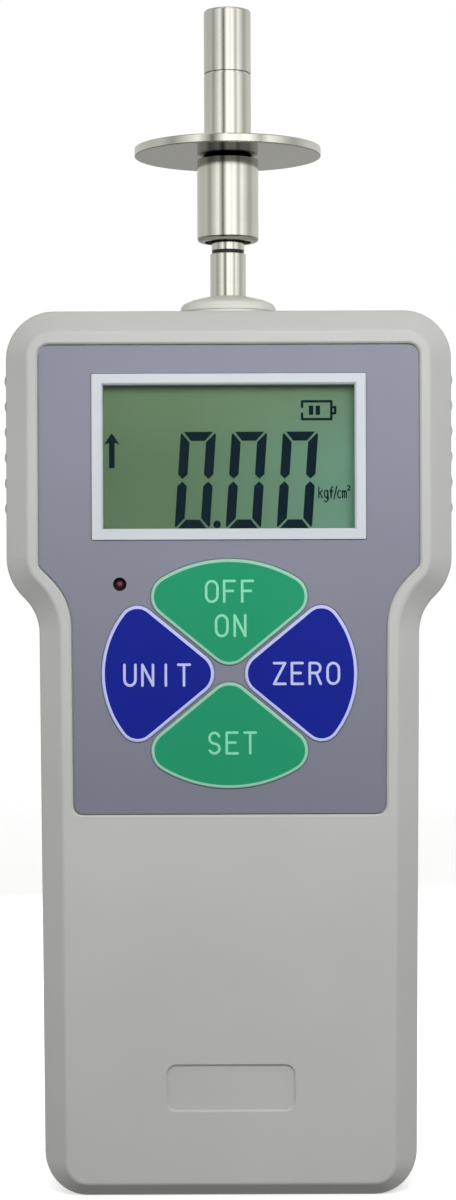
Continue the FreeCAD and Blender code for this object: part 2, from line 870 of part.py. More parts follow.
stem_back = d.front_wall + d.rest_gap + d.stem_head_thick
switch_face = d.board_front - d.switch_thick


def switch_plunger(name):
    x, z = stem_centre(name)
    plunger = cylinder("Plunger" + name.title().replace("_", ""), (x, at_depth(stem_back), z),
                       d.plunger_radius, switch_face + d.plunger_in - stem_back, "+y")
    return node(plunger, "switch_plunger_" + name)


def tact_switches():
    switches = []
    for name in KEYS:
        x, z = stem_centre(name)
        half = d.switch_side / 2
        label = name.title().replace("_", "")
        shell = box("SwitchBox" + label, (x - half, at_depth(switch_face), z - half),
                    (x + half, at_depth(d.board_front), z + half))
        bore = cylinder("SwitchBore" + label, (x, at_depth(switch_face - d.fit), z),
                        d.plunger_radius + d.rest_gap,
                        d.plunger_in + d.key_travel + d.key_stop + d.fit, "+y")
        switches.append(cut("Switch" + label, shell, bore))
    return node(group("TactSwitches", switches), "tact_switches")


def display():
    body = new_body("DisplayFrame")
    front = d.case_deep / 2
    spot = (0, d.display_level)
    flange = sketch_on(body, "FlangeOutline", offset=front - d.panel_sunk)
    rectangle(flange, spot, d.frame_wide, d.frame_tall)
    pad(body, "Flange", flange, d.panel_sunk - d.frame_front)
    corners = [(d.frame_wide / 2 * s, d.display_level + d.frame_tall / 2 * t)
               for s in (1, -1) for t in (1, -1)]
    dress(body, "Fillet", "FlangeCorners", along_y(corners), d.frame_corner)
    skirt = sketch_on(body, "SkirtOutline", offset=front - d.front_wall)
    rectangle(skirt, spot, d.frame_wide - d.skirt_step * 2, d.frame_tall - d.skirt_step * 2)
    pad(body, "Skirt", skirt, d.front_wall - d.panel_sunk + d.fit)
    opening = sketch_on(body, "ViewOutline", offset=front)
    rectangle(opening, spot, d.frame_wide - d.frame_band * 2, d.frame_tall - d.frame_band * 2)
    pocket(body, "View", opening, d.front_wall + d.fit)
    face_y = at_depth(d.frame_front).value
    inside = d.frame_wide.value / 2 - d.frame_band.value + 0.01
    dress(body, "Chamfer", "ViewEdge", lambda e: abs(e.BoundBox.YMax - face_y) < 0.001
          and e.BoundBox.YLength < 0.001 and abs(e.BoundBox.Center.x) < inside
          and e.BoundBox.XLength < inside * 2, d.view_edge)
    node(body, "display_frame")

    half_wide = d.frame_wide / 2 - d.frame_band - d.fit
    half_tall = d.frame_tall / 2 - d.frame_band - d.fit
    window = box("DisplayWindow", (-half_wide, at_depth(d.window_front), d.display_level - half_tall),
                 (half_wide, at_depth(d.window_front + d.window_thick), d.display_level + half_tall))
    node(window, "display_window")

    lcd_low = d.display_level - d.lcd_tall / 2
    lcd_back = d.front_wall + d.lcd_thick
    panel = box("LcdPanel", (-d.lcd_wide / 2, at_depth(d.front_wall), lcd_low),
                (d.lcd_wide / 2, at_depth(lcd_back), d.display_level + d.lcd_tall / 2))
    node(panel, "lcd_panel")
    light = box("LcdBacklight", (-d.lcd_wide / 2, at_depth(lcd_back), lcd_low + d.light_lift),
                (d.lcd_wide / 2, at_depth(d.board_front), d.display_level + d.lcd_tall / 2))
    node(light, "lcd_backlight")

    pins = []
    half = d.pin_side / 2
    for i, (x, z) in enumerate(lcd_pin_spots()):
        pins.append(box(f"LcdPin{i + 1}", (x - half, at_depth(lcd_back), z - half),
                        (x + half, at_depth(board_back + d.pin_tail), z + half)))
    node(group("LcdPins", pins), "lcd_pins")


board_back = d.board_front + d.board_thick


def lcd_pin_spots():
    level = d.display_level - d.lcd_tall / 2 + d.light_lift / 2
    return [(d.pin_pitch * (i - (LCD_PINS - 1) / 2), level) for i in range(LCD_PINS)]


def status_lamp():
    x, z = lamp_spot
    flange_end = d.lamp_lens_deep + d.lamp_flange_thick
    dome = doc.addObject("Part::Sphere", "LampDome")
    bind(dome, "Radius", d.lamp_radius)
    place(dome, (x, at_depth(d.lamp_front + d.lamp_radius), z))
    barrel = cylinder("LampBarrel", (x, at_depth(d.lamp_front + d.lamp_radius), z), d.lamp_radius,
                      d.lamp_lens_deep - d.lamp_front - d.lamp_radius, "+y")
    flange = cylinder("LampFlange", (x, at_depth(d.lamp_lens_deep), z), d.lamp_flange_radius,
                      d.lamp_flange_thick, "+y")
    legs = []
    half = d.lamp_leg / 2
    for i, side in enumerate((1, -1)):
        leg_x = x + d.lamp_leg_side * side
        legs.append(box(f"LampLeg{i + 1}", (leg_x - half, at_depth(flange_end), z - half),
                        (leg_x + half, at_depth(board_back + d.pin_tail), z + half)))
    node(fuse("StatusLamp", dome, barrel, flange, *legs), "status_lamp")


# Main board and what sits on it

def main_board():
    body = new_body("MainBoard")
    half_tall = (d.board_top - d.board_low) / 2
    outline = sketch_on(body, "Outline", offset=d.case_deep / 2 - board_back)
    rectangle(outline, (0, d.board_low + half_tall), d.board_wide, half_tall * 2)
    pad(body, "Laminate", outline, d.board_thick)
    holes = sketch_on(body, "HoleRings", offset=d.case_deep / 2 - d.board_front)
    for spot in board_posts:
        circle(holes, spot, d.board_screw_radius + d.fit * 2)
    for spot in lcd_pin_spots():
        circle(holes, spot, d.pin_hole / 2)
    for side in (1, -1):
        circle(holes, (d.lamp_leg_side * side - d.lamp_side, d.lamp_level), d.pin_hole / 2)
    pocket(body, "Holes", holes, d.board_thick + d.fit)
    node(body, "main_board")


def pan_screw(name, spot, seat, head_radius, head_tall, radius, length):
    """A round-headed screw whose head sits at a Y and whose shank runs towards -Y."""
    x, z = spot
    head = cylinder(name + "Head", (x, seat, z), head_radius, head_tall, "+y")
    shank = cylinder(name + "Shank", (x, seat + head_tall / 2, z), radius, length + head_tall / 2, "-y")
    slot_wide = head_radius / 4
    slots = []
    halves = ((head_radius / 2, slot_wide / 2), (slot_wide / 2, head_radius / 2))
    for i, (half_x, half_z) in enumerate(halves):
        slots.append(box(f"{name}Slot{i + 1}", (x - half_x, seat + head_tall / 2, z - half_z),
                         (x + half_x, seat + head_tall + d.fit, z + half_z)))
    return cut(name, fuse(name + "Blank", head, shank), *slots)


def board_pieces():
    screws = [pan_screw(f"BoardScrew{i + 1}", spot, at_depth(board_back), d.board_screw_head_radius,
                        d.board_screw_head, d.board_screw_radius, d.board_screw_long)
              for i, spot in enumerate(board_posts)]
    node(group("BoardScrews", screws), "board_screws")

    chips = []
    half = d.chip_side / 2
    centres = [(size(0), d.chip_level), (d.side_chip_side, d.side_chip_level)]
    for i, (x, z) in enumerate(centres):
        chips.append(box(f"Chip{i + 1}", (x - half, at_depth(board_back), z - half),
                         (x + half, at_depth(board_back + d.chip_thick), z + half)))
    for i in range(SMALL_CHIPS):
        z = d.pad_level + d.small_chip_pitch * i
        chips.append(box(f"SmallChip{i + 1}", (-d.small_chip_wide, at_depth(board_back), z),
                         (0, at_depth(board_back + d.chip_thick), z + d.small_chip_tall)))
    node(group("BoardChips", chips), "board_chips")

    can = cylinder("BuzzerCan", (-d.buzzer_side, at_depth(board_back), d.buzzer_level), d.buzzer_radius,
                   d.buzzer_tall, "+y")
    vent_depth = board_back + d.buzzer_tall / 2
    vent = cylinder("BuzzerVent", (-d.buzzer_side, at_depth(vent_depth), d.buzzer_level),
                    d.buzzer_vent_radius, d.buzzer_tall, "+y")
    node(cut("Buzzer", can, vent), "buzzer")

    plugs = []
    for i, (x, z) in enumerate(plug_spots.values()):
        plugs.append(box(f"Plug{i + 1}", (x - d.plug_wide / 2, at_depth(board_back), z - d.plug_tall / 2),
                         (x + d.plug_wide / 2, plug_back, z + d.plug_tall / 2)))
    node(group("BoardPlugs", plugs), "board_plugs")


plug_back = at_depth(board_back + d.plug_deep)
plug_spots = {
    "battery": (d.foot_plug_side, d.foot_plug_level),
    "charge": (-d.foot_plug_side, d.foot_plug_level),
    "sensor": (d.sensor_plug_side, d.sensor_plug_level),
}


# Shaft, collar and probe

collar_top = case_top + d.collar_tall
shaft_top = collar_top + d.shaft_show
neck_low = shaft_top + d.washer_thick
adapter_low = neck_low + d.neck_tall
adapter_top = adapter_low + d.adapter_tall
guard_top = adapter_top + d.guard_thick
tip_top = guard_top + d.tip_tall
ledge_low = d.ledge_level
cell_low = ledge_low + d.ledge_thick
cell_top = cell_low + d.cell_tall
cell_deep = (d.case_deep / 2 - board_back - d.pin_tail - d.cell_clear) * 2


def shaft_collar():
    bore = d.shaft_radius + d.shaft_clear
    under_wall = case_top - d.wall
    groove = case_top + d.collar_groove_level
    body = turned("shaft_collar", [
        (bore, under_wall - d.collar_flange),
        (d.collar_flange_radius, under_wall - d.collar_flange),
        (d.collar_flange_radius, under_wall),
        (d.collar_hub_radius, under_wall),
        (d.collar_hub_radius, case_top),
        (d.collar_radius, case_top),
        (d.collar_radius, groove),
        (d.collar_radius - d.collar_groove, groove),
        (d.collar_radius - d.collar_groove, groove + d.collar_groove),
        (d.collar_radius, groove + d.collar_groove),
        (d.collar_radius, case_top + d.collar_side),
        (d.collar_shoulder_radius, case_top + d.collar_shoulder),
        (d.collar_dome_radius, case_top + d.collar_dome),
        (d.collar_top_radius, collar_top),
        (bore, collar_top),
    ])
    dress(body, "Fillet", "Dome", ring_at(d.collar_dome_radius, case_top + d.collar_dome), d.collar_dome_round)
    dress(body, "Fillet", "Shoulder", ring_at(d.collar_shoulder_radius, case_top + d.collar_shoulder),
          d.collar_shoulder_round)
    node(body, "shaft_collar")


def load_shaft():
    body = turned("load_shaft", [
        (0, cell_top - d.cell_stud_long),
        (d.cell_stud_radius, cell_top - d.cell_stud_long),
        (d.cell_stud_radius, cell_top),
        (d.shaft_radius, cell_top),
        (d.shaft_radius, shaft_top),
        (d.probe_stud_radius, shaft_top),
        (d.probe_stud_radius, shaft_top + d.probe_stud_long),
        (0, shaft_top + d.probe_stud_long),
    ])
    dress(body, "Chamfer", "ShoulderChamfer", ring_at(d.shaft_radius, shaft_top), d.shaft_chamfer)
    node(body, "load_shaft")


def adapter_washer():
    hole = d.probe_stud_radius + d.stud_clear
    body = turned("adapter_washer", [
        (hole, shaft_top),
        (d.washer_radius, shaft_top),
        (d.washer_radius, neck_low),
        (hole, neck_low),
    ])
    for name, level in (("LowEdge", shaft_top), ("TopEdge", neck_low)):
        dress(body, "Fillet", name, ring_at(d.washer_radius, level), d.washer_edge)
    node(body, "adapter_washer")


def probe_adapter():
    low_bore = d.probe_stud_radius + d.stud_clear
    low_end = shaft_top + d.probe_stud_long + d.bore_spare
    top_bore = d.tip_stud_radius + d.stud_clear
    top_end = guard_top - d.tip_stud_long - d.bore_spare
    body = turned("probe_adapter", [
        (low_bore, neck_low),
        (d.neck_radius, neck_low),
        (d.neck_radius, adapter_low + d.cup_deep),
        (d.cup_radius, adapter_low + d.cup_deep),
        (d.cup_radius, adapter_low),
        (d.adapter_radius, adapter_low),
        (d.adapter_radius, adapter_top - d.adapter_top_drop),
        (d.adapter_radius - d.adapter_top_run, adapter_top),
        (top_bore, adapter_top),
        (top_bore, top_end),
        (0, top_end),
        (0, low_end),
        (low_bore, low_end),
    ])
    dress(body, "Fillet", "FootRound", ring_at(d.adapter_radius, adapter_low), d.adapter_foot_round)
    node(body, "probe_adapter")


def juice_guard():
    hole = d.tip_stud_radius + d.fit
    body = turned("juice_guard", [
        (hole, adapter_top),
        (d.guard_radius, adapter_top),
        (d.guard_radius, guard_top),
        (hole, guard_top),
    ])
    for name, level in (("LowEdge", adapter_top), ("TopEdge", guard_top)):
        dress(body, "Fillet", name, ring_at(d.guard_radius, level), d.guard_edge)
    node(body, "juice_guard")


def probe_tip():
    mark = tip_top - d.mark_down
    body = turned("probe_tip", [
        (0, guard_top - d.tip_stud_long),
        (d.tip_stud_radius, guard_top - d.tip_stud_long),
        (d.tip_stud_radius, guard_top),
        (d.tip_radius, guard_top),
        (d.tip_radius, mark - d.mark_wide / 2),
        (d.tip_radius - d.mark_deep, mark - d.mark_wide / 2),
        (d.tip_radius - d.mark_deep, mark + d.mark_wide / 2),
        (d.tip_radius, mark + d.mark_wide / 2),
        (d.tip_radius, tip_top),
        (0, tip_top),
    ])
    dress(body, "Fillet", "TipEdge", ring_at(d.tip_radius, tip_top), d.tip_edge)
    node(body, "probe_tip")


# Load cell, its bracket and screws

def load_cell():
    half_wide = d.cell_wide / 2
    half_deep = cell_deep / 2
    middle = cell_low + d.cell_tall / 2
    block = box("CellBlock", (-half_wide, -half_deep, cell_low), (half_wide, half_deep, cell_top))
    tools = []
    for i, (side, level) in enumerate(((1, cell_low + d.cell_slot_inset),
                                       (-1, cell_top - d.cell_slot_inset - d.cell_slot))):
        start = -half_wide - d.fit if side < 0 else -half_wide + d.cell_slot_left
        end = half_wide - d.cell_slot_left if side < 0 else half_wide + d.fit
        tools.append(box(f"CellSlot{i + 1}", (start, -half_deep - d.fit, level),
                         (end, half_deep + d.fit, level + d.cell_slot)))
    tools.append(cylinder("CellWindow", (0, -half_deep - d.fit, middle), d.cell_window_radius,
                          cell_deep + d.fit * 2, "+y"))
    tools.append(cylinder("CellTopTap", (0, 0, cell_top - d.cell_stud_long - d.bore_spare),
                          d.cell_stud_radius + d.stud_clear, d.cell_stud_long + d.bore_spare + d.fit))
    tools.append(cylinder("CellFootTap", (0, 0, cell_low - d.fit), d.cell_screw_radius + d.stud_clear,
                          d.cell_screw_deep + d.bore_spare + d.fit))
    node(cut("LoadCell", block, *tools), "load_cell")

    gauges = []
    for face, start in (("Front", -half_deep - d.gauge_thick), ("Rear", half_deep)):
        for side in (1, -1):
            x = (half_wide + d.cell_window_radius) / 2 * side
            gauges.append(box(f"Gauge{face}{'Right' if side > 0 else 'Left'}",
                              (x - d.gauge_wide / 2, start, middle - d.gauge_tall / 2),
                              (x + d.gauge_wide / 2, start + d.gauge_thick, middle + d.gauge_tall / 2)))
    node(group("StrainGauges", gauges), "strain_gauges")

    head = cylinder("CellScrewHead", (0, 0, ledge_low), d.cell_screw_head_radius, d.cell_screw_head, "-z")
    shank = cylinder("CellScrewShank", (0, 0, ledge_low - d.cell_screw_head / 2), d.cell_screw_radius,
                     d.cell_screw_head / 2 + d.ledge_thick + d.cell_screw_deep)
    socket = doc.addObject("Part::Prism", "CellScrewSocket")
    socket.Polygon = 6
    bind(socket, "Circumradius", d.hex_key / math.sqrt(3))
    bind(socket, "Height", d.cell_screw_head / 2 + d.fit)
    place(socket, (0, 0, ledge_low - d.cell_screw_head - d.fit))
    node(cut("CellScrew", fuse("CellScrewBlank", head, shank), socket), "cell_screw")


def mounting_plate():
    back = d.case_deep / 2 - d.rear_wall
    front = back - d.plate_thick
    half_cell = d.cell_wide / 2
    half_plate = d.plate_wide / 2
    upright = box("PlateUpright", (-half_plate, front, d.plate_low), (half_plate, back, cell_low))
    ledge = box("PlateLedge", (-half_cell, -cell_deep / 2, ledge_low), (half_cell, back, cell_low))
    tools = [cylinder(f"MountTap{i + 1}", (x, back + d.fit, z), d.mount_tap_radius,
                      d.plate_thick + d.fit * 2, "-y") for i, (x, z) in enumerate(mounts)]
    tools += [cylinder(f"PlateTap{i + 1}", (x, back + d.fit, z), d.plate_screw_radius + d.stud_clear,
                       d.plate_thick + d.fit * 2, "-y") for i, (x, z) in enumerate(plate_screw_spots)]
    tools.append(cylinder("LedgeHole", (0, 0, ledge_low - d.fit), d.cell_screw_radius + d.fit * 2,
                          d.ledge_thick + d.fit * 2))
    node(cut("MountingPlate", fuse("PlateBlank", upright, ledge), *tools), "mounting_plate")

    seat = d.case_deep / 2 - d.plate_screw_head
    screws = [pan_screw(f"PlateScrew{i + 1}", spot, seat, d.plate_screw_head_radius, d.plate_screw_head,
                        d.plate_screw_radius, d.rear_wall - d.plate_screw_head + d.plate_thick)
              for i, spot in enumerate(plate_screw_spots)]
    node(group("PlateScrews", screws), "plate_screws")


def case_screw_set():
    screws = [pan_screw(f"CaseScrew{i + 1}", spot, size(0) + d.counterbore, d.case_screw_head_radius,
                        d.case_screw_head, d.case_screw_radius, d.case_screw_long - d.fit)
              for i, spot in enumerate(case_screws)]
    node(group("CaseScrews", screws), "case_screws")


# Battery and charge socket

battery_pitch = d.battery_radius * 2 + d.battery_gap
battery_top = d.battery_low + d.battery_tall
columns = (-1, 0, 1)


def battery():
    half_row = battery_pitch / 2
    cells = [cylinder(f"Cell{c + 2}{'Front' if r < 0 else 'Rear'}",
                      (battery_pitch * c, half_row * r, d.battery_low), d.battery_radius, d.battery_tall)
             for c in columns for r in (-1, 1)]
    node(group("BatteryCells", cells), "battery_cells")

    tabs = []
    for c in columns:
        x = battery_pitch * c
        tabs.append(box(f"TopTab{c + 2}", (x - d.tab_wide / 2, -half_row - d.tab_wide / 2, battery_top),
                        (x + d.tab_wide / 2, half_row + d.tab_wide / 2, battery_top + d.tab_thick)))
    half_tab = d.tab_wide / 2
    for i, (row, first) in enumerate(((-1, -1), (1, 0))):
        x = battery_pitch * first
        y = half_row * row
        tabs.append(box(f"FootTab{i + 1}", (x - half_tab, y - half_tab, d.battery_low - d.tab_thick),
                        (x + battery_pitch + half_tab, y + half_tab, d.battery_low)))
    node(group("BatteryTabs", tabs), "battery_tabs")

    in_x = battery_pitch + d.battery_radius + d.battery_gap
    in_y = half_row + d.battery_radius + d.battery_gap
    corner = d.battery_radius + d.battery_gap
    long = d.battery_tall + d.sleeve_over * 2
    body = new_body("BatterySleeve")
    skin = sketch_on(body, "SkinOutline", role="XY_Plane", offset=d.battery_low - d.sleeve_over)
    rounded_rectangle(skin, in_x + d.sleeve_thick, in_y + d.sleeve_thick, corner + d.sleeve_thick)
    pad(body, "Skin", skin, long)
    room = sketch_on(body, "RoomOutline", role="XY_Plane", offset=battery_top + d.sleeve_over)
    rounded_rectangle(room, in_x, in_y, corner)
    pocket(body, "Room", room, long)
    node(body, "battery_sleeve")

    half_wide = d.foam_wide / 2
    middle = d.battery_low + d.battery_tall / 2
    out_y = in_y + d.sleeve_thick
    pads = []
    for name, start, end in (("FoamFront", at_depth(d.front_wall), -out_y),
                             ("FoamRear", out_y, d.case_deep / 2 - d.rear_wall)):
        pads.append(box(name, (-half_wide, start, middle - d.foam_tall / 2),
                        (half_wide, end, middle + d.foam_tall / 2)))
    node(group("FoamPads", pads), "foam_pads")


def charge_socket():
    y = d.socket_back
    block = box("SocketBlock", (-d.socket_wide / 2, y - d.socket_deep / 2, d.wall),
                (d.socket_wide / 2, y + d.socket_deep / 2, d.wall + d.socket_tall))
    barrel = cylinder("SocketBarrel", (0, y, d.fit), d.socket_barrel_radius, d.wall + d.fit)
    bore = cylinder("SocketBore", (0, y, -d.fit), d.socket_bore_radius, d.socket_bore_deep + d.fit)
    node(cut("ChargeSocket", fuse("SocketBlank", block, barrel), bore), "charge_socket")
    pin = cylinder("SocketPin", (0, y, d.socket_pin_sunk), d.socket_pin_radius,
                   d.socket_bore_deep - d.socket_pin_sunk)
    node(pin, "socket_pin")


# Leads inside the case

def lead(label, points, radius):
    """A round lead of straight runs joined by tangent arcs, as large as the runs allow."""
    spots = [V(*[size(c).value for c in point]) for point in points]
    edges = []
    radii = []
    start = spots[0]
    for before, here, after in zip(spots, spots[1:], spots[2:]):
        back = (before - here).normalize()
        on = (after - here).normalize()
        half_turn = (math.pi - back.getAngle(on)) / 2
        reach = 0.45 * min((before - here).Length, (after - here).Length)
        bend = reach / math.tan(half_turn)
        middle_way = (back + on).normalize()
        middle = here + middle_way * (bend / math.cos(half_turn) - bend)
        arc_start = here + back * reach
        arc_end = here + on * reach
        edges.append(Part.LineSegment(start, arc_start).toShape())
        edges.append(Part.Arc(arc_start, middle, arc_end).toShape())
        radii.append(bend)
        start = arc_end
    edges.append(Part.LineSegment(start, spots[-1]).toShape())
    path = Part.Wire(edges)
    ring = Part.Wire([Part.Circle(spots[0], spots[1] - spots[0], radius.value).toShape()])
    tube = path.makePipeShell([ring], True, False)
    due = math.pi * radius.value ** 2 * path.Length
    if abs(tube.Volume - due) > due * 0.01:
        raise RuntimeError(f"{label} has volume {tube.Volume:.2f}, not {due:.2f}")
    print(label, "length", round(path.Length, 1), "radii", [round(r, 1) for r in radii])
    part = doc.addObject("Part::Feature", label.title().replace("_", ""))
    part.Shape = tube
    part.Placement = FreeCAD.Placement()
    node(part, label)


def leads():
    plug = plug_back
    x, z = plug_spots["battery"]
    lead("battery_lead", [
        (battery_pitch, 3.0, battery_top + d.tab_thick),
        (battery_pitch, 3.0, battery_top + 4.6),
        (battery_pitch - 0.6, 2.6, battery_top + 9.2),
        (x, 0.6, z),
        (x, plug, z),
    ], d.lead_radius)
    x, z = plug_spots["charge"]
    channel = -(battery_pitch + d.battery_radius + d.battery_gap + d.sleeve_thick) - 4.4
    start = (-d.socket_wide / 2, d.socket_back, d.wall + d.socket_tall / 2)
    lead("charge_lead", [
        start,
        (start[0] - 5.0, d.socket_back, start[2]),
        (start[0] - 9.6, d.socket_back - 0.2, start[2] + 2.6),
        (channel + 2.6, d.socket_back - 1.0, d.battery_low + 1.6),
        (channel, d.socket_back - 2.4, d.battery_low + 9.0),
        (channel - 0.5, d.socket_back - 3.6, d.battery_low + 19.5),
        (channel + 0.2, d.socket_back - 4.0, d.battery_low + 31.0),
        (channel, d.socket_back - 4.8, battery_top - 2.5),
        (channel + 3.4, d.socket_back - 5.2, battery_top + 6.6),
        (x - 4.4, d.socket_back - 6.4, z - 0.8),
        (x, plug + 4.6, z),
        (x, plug, z),
    ], d.lead_radius)
    x, z = plug_spots["sensor"]
    lead("sensor_lead", [
        (d.cell_wide / 2, 1.5, cell_low + d.cell_tall / 2 - 1.0),
        (d.cell_wide / 2 + 4.4, 1.5, cell_low + d.cell_tall / 2 - 1.0),
        (x, 0.6, z),
        (x, plug, z),
    ], d.lead_radius)


panel_overlay()
display()
status_lamp()
for key_name in KEYS:
    key(key_name)
    switch_plunger(key_name)
tact_switches()
main_board()
board_pieces()
shaft_collar()
load_shaft()
adapter_washer()
probe_adapter()
juice_guard()
probe_tip()
load_cell()
mounting_plate()
case_screw_set()
battery()
charge_socket()
leads()
front_cover()
rear_cover()
doc.recompute()

for part in doc.Objects:
    if "Invalid" in part.State or "Error" in part.State:
        raise RuntimeError(f"{part.Label} failed: {part.State}")
for part in nodes:
    if part.Shape.isNull() or not part.Shape.isValid():
        raise RuntimeError(f"{part.Label} has no valid shape")

os.makedirs("parts", exist_ok=True)
for part in nodes:
    part.Shape.exportStep(f"parts/{part.Label}.step")
print(len(nodes), "nodes written")
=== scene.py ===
import json
import math

import bmesh
import bpy
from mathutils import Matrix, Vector


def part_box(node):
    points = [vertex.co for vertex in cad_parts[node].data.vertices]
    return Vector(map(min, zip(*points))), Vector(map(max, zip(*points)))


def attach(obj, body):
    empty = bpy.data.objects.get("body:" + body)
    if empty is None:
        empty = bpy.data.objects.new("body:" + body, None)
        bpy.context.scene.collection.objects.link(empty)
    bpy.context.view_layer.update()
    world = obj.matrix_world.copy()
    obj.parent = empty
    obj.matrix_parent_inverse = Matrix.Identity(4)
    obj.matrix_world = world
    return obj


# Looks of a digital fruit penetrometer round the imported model: finishes, key print, display signs.
# Lengths are in millimetres where they are named and in metres in Blender.

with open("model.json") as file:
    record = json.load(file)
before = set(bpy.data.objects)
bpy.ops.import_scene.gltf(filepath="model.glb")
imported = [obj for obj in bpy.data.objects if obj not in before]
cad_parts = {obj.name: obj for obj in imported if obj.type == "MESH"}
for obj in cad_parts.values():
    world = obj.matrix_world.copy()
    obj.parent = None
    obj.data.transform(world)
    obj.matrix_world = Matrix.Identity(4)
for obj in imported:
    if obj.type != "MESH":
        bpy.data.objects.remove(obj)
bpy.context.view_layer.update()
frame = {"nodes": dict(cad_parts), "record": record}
nodes = frame["nodes"]
MM = 0.001


def span(node):
    """Lowest and highest corner of a node in millimetres."""
    low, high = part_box(node)
    return Vector(low) / MM, Vector(high) / MM


# Camera, at the photograph's place: level, in front of the display

CAMERA_FAR = 455.0
CAMERA_LEVEL = 96.4
CAMERA_SIDE = -0.2
LENS = 81.2
ROLL = math.radians(0.2)


def make_camera():
    data = bpy.data.cameras.new("camera")
    data.lens = LENS
    data.clip_start = 0.01
    camera = bpy.data.objects.new("camera", data)
    camera.location = Vector((CAMERA_SIDE, -CAMERA_FAR, CAMERA_LEVEL)) * MM
    camera.rotation_euler = (math.pi / 2, ROLL, 0)
    bpy.context.collection.objects.link(camera)
    bpy.context.scene.camera = camera


# Materials

# Sockets of a Mix node by number, because the node has several called A and B
NUMBER_A, NUMBER_B, NUMBER_OUT = 2, 3, 0
COLOR_A, COLOR_B, COLOR_OUT = 6, 7, 2


def rgb(color):
    return (*color, 1.0)


class Look:
    """A Principled material in the object's own coordinates, with procedural parts."""

    def __init__(self, name, color, roughness, **sockets):
        self.material = bpy.data.materials.new(name)
        self.material.use_nodes = True
        self.tree = self.material.node_tree
        self.shader = self.tree.nodes["Principled BSDF"]
        self.shader.inputs["Base Color"].default_value = rgb(color)
        self.shader.inputs["Roughness"].default_value = roughness
        for socket, value in sockets.items():
            self.shader.inputs[socket.replace("_", " ")].default_value = value
        self.color = color
        self.roughness = roughness
        self.place = self.add("ShaderNodeTexCoord").outputs["Object"]

    def add(self, kind, **values):
        made = self.tree.nodes.new(kind)
        for name, value in values.items():
            setattr(made, name, value)
        return made

    def link(self, start, end):
        self.tree.links.new(start, end)

    def noise(self, scale, detail=3.0, place=None):
        texture = self.add("ShaderNodeTexNoise")
        texture.inputs["Scale"].default_value = scale
        texture.inputs["Detail"].default_value = detail
        self.link(place or self.place, texture.inputs["Vector"])
        return texture.outputs["Fac"]

    def ranged(self, value, low, high, start=0.3, end=0.7):
        """Map a value from start..end to low..high."""
        ranging = self.add("ShaderNodeMapRange")
        ranging.inputs["From Min"].default_value = start
        ranging.inputs["From Max"].default_value = end
        ranging.inputs["To Min"].default_value = low
        ranging.inputs["To Max"].default_value = high
        self.link(value, ranging.inputs["Value"])
        return ranging.outputs["Result"]

    def mixed(self, share, first, second):
        """Mix two colours, each a colour or a socket."""
        mix = self.add("ShaderNodeMix", data_type="RGBA")
        self.link(share, mix.inputs["Factor"])
        for socket, color in ((mix.inputs[COLOR_A], first), (mix.inputs[COLOR_B], second)):
            if isinstance(color, tuple):
                socket.default_value = rgb(color)
            else:
                self.link(color, socket)
        return mix.outputs[COLOR_OUT]

    def paint(self, color):
        self.link(color, self.shader.inputs["Base Color"])

    def mottle(self, scale, amount):
        """Slow drift of the colour, a little darker and lighter."""
        dark = tuple(c * (1 - amount) for c in self.color)
        light = tuple(min(1.0, c * (1 + amount)) for c in self.color)
        self.paint(self.mixed(self.ranged(self.noise(scale), 0, 1), dark, light))

    def uneven(self, scale, amount):
        """Roughness that varies over the surface."""
        rough = self.ranged(self.noise(scale), self.roughness - amount, self.roughness + amount)
        self.link(rough, self.shader.inputs["Roughness"])

    def relief(self, height, distance, strength=1.0):
        bump = self.add("ShaderNodeBump")
        bump.inputs["Distance"].default_value = distance
        bump.inputs["Strength"].default_value = strength
        self.link(height, bump.inputs["Height"])
        self.link(bump.outputs["Normal"], self.shader.inputs["Normal"])

    def axis_parts(self):
        """Distance from the Z axis and height along it."""
        split = self.add("ShaderNodeSeparateXYZ")
        self.link(self.place, split.inputs["Vector"])
        flat = self.add("ShaderNodeCombineXYZ")
        self.link(split.outputs["X"], flat.inputs["X"])
        self.link(split.outputs["Y"], flat.inputs["Y"])
        length = self.add("ShaderNodeVectorMath", operation="LENGTH")
        self.link(flat.outputs["Vector"], length.inputs[0])
        return length.outputs["Value"], split


def moulded(name, color, roughness, grain=2600.0, depth=0.012, drift=0.03, **sockets):
    """Moulded plastic: fine texture, slight drift of colour and gloss."""
    look = Look(name, color, roughness, **sockets)
    look.mottle(35.0, drift)
    look.uneven(240.0, 0.05)
    look.relief(look.noise(grain, 2.0), depth * MM)
    return look.material


RING_SCALE = 5200.0
RING_DEPTH = 0.0008


def turned_steel(name, color, roughness):
    """Steel turned on a lathe: fine rings round the axis, on the sides and on the faces."""
    look = Look(name, color, roughness, Metallic=1.0)
    radius, split = look.axis_parts()
    rings = look.add("ShaderNodeCombineXYZ")
    look.link(radius, rings.inputs["X"])
    look.link(split.outputs["Z"], rings.inputs["Z"])
    fine = look.noise(RING_SCALE, 2.0, rings.outputs["Vector"])
    look.relief(fine, RING_DEPTH * MM)
    rough = look.ranged(fine, roughness - 0.04, roughness + 0.04)
    look.link(rough, look.shader.inputs["Roughness"])
    look.mottle(90.0, 0.04)
    return look.material


BRUSH_SCALE = (60.0, 60.0, 2400.0)


def rolled_steel(name, color, roughness):
    """Plated sheet and screws: brushed one way."""
    look = Look(name, color, roughness, Metallic=1.0)
    stretch = look.add("ShaderNodeMapping")
    stretch.inputs["Scale"].default_value = BRUSH_SCALE
    look.link(look.place, stretch.inputs["Vector"])
    lines = look.noise(1.0, 3.0, stretch.outputs["Vector"])
    look.relief(lines, 0.004 * MM)
    look.link(look.ranged(lines, roughness - 0.08, roughness + 0.1), look.shader.inputs["Roughness"])
    look.mottle(120.0, 0.06)
    return look.material


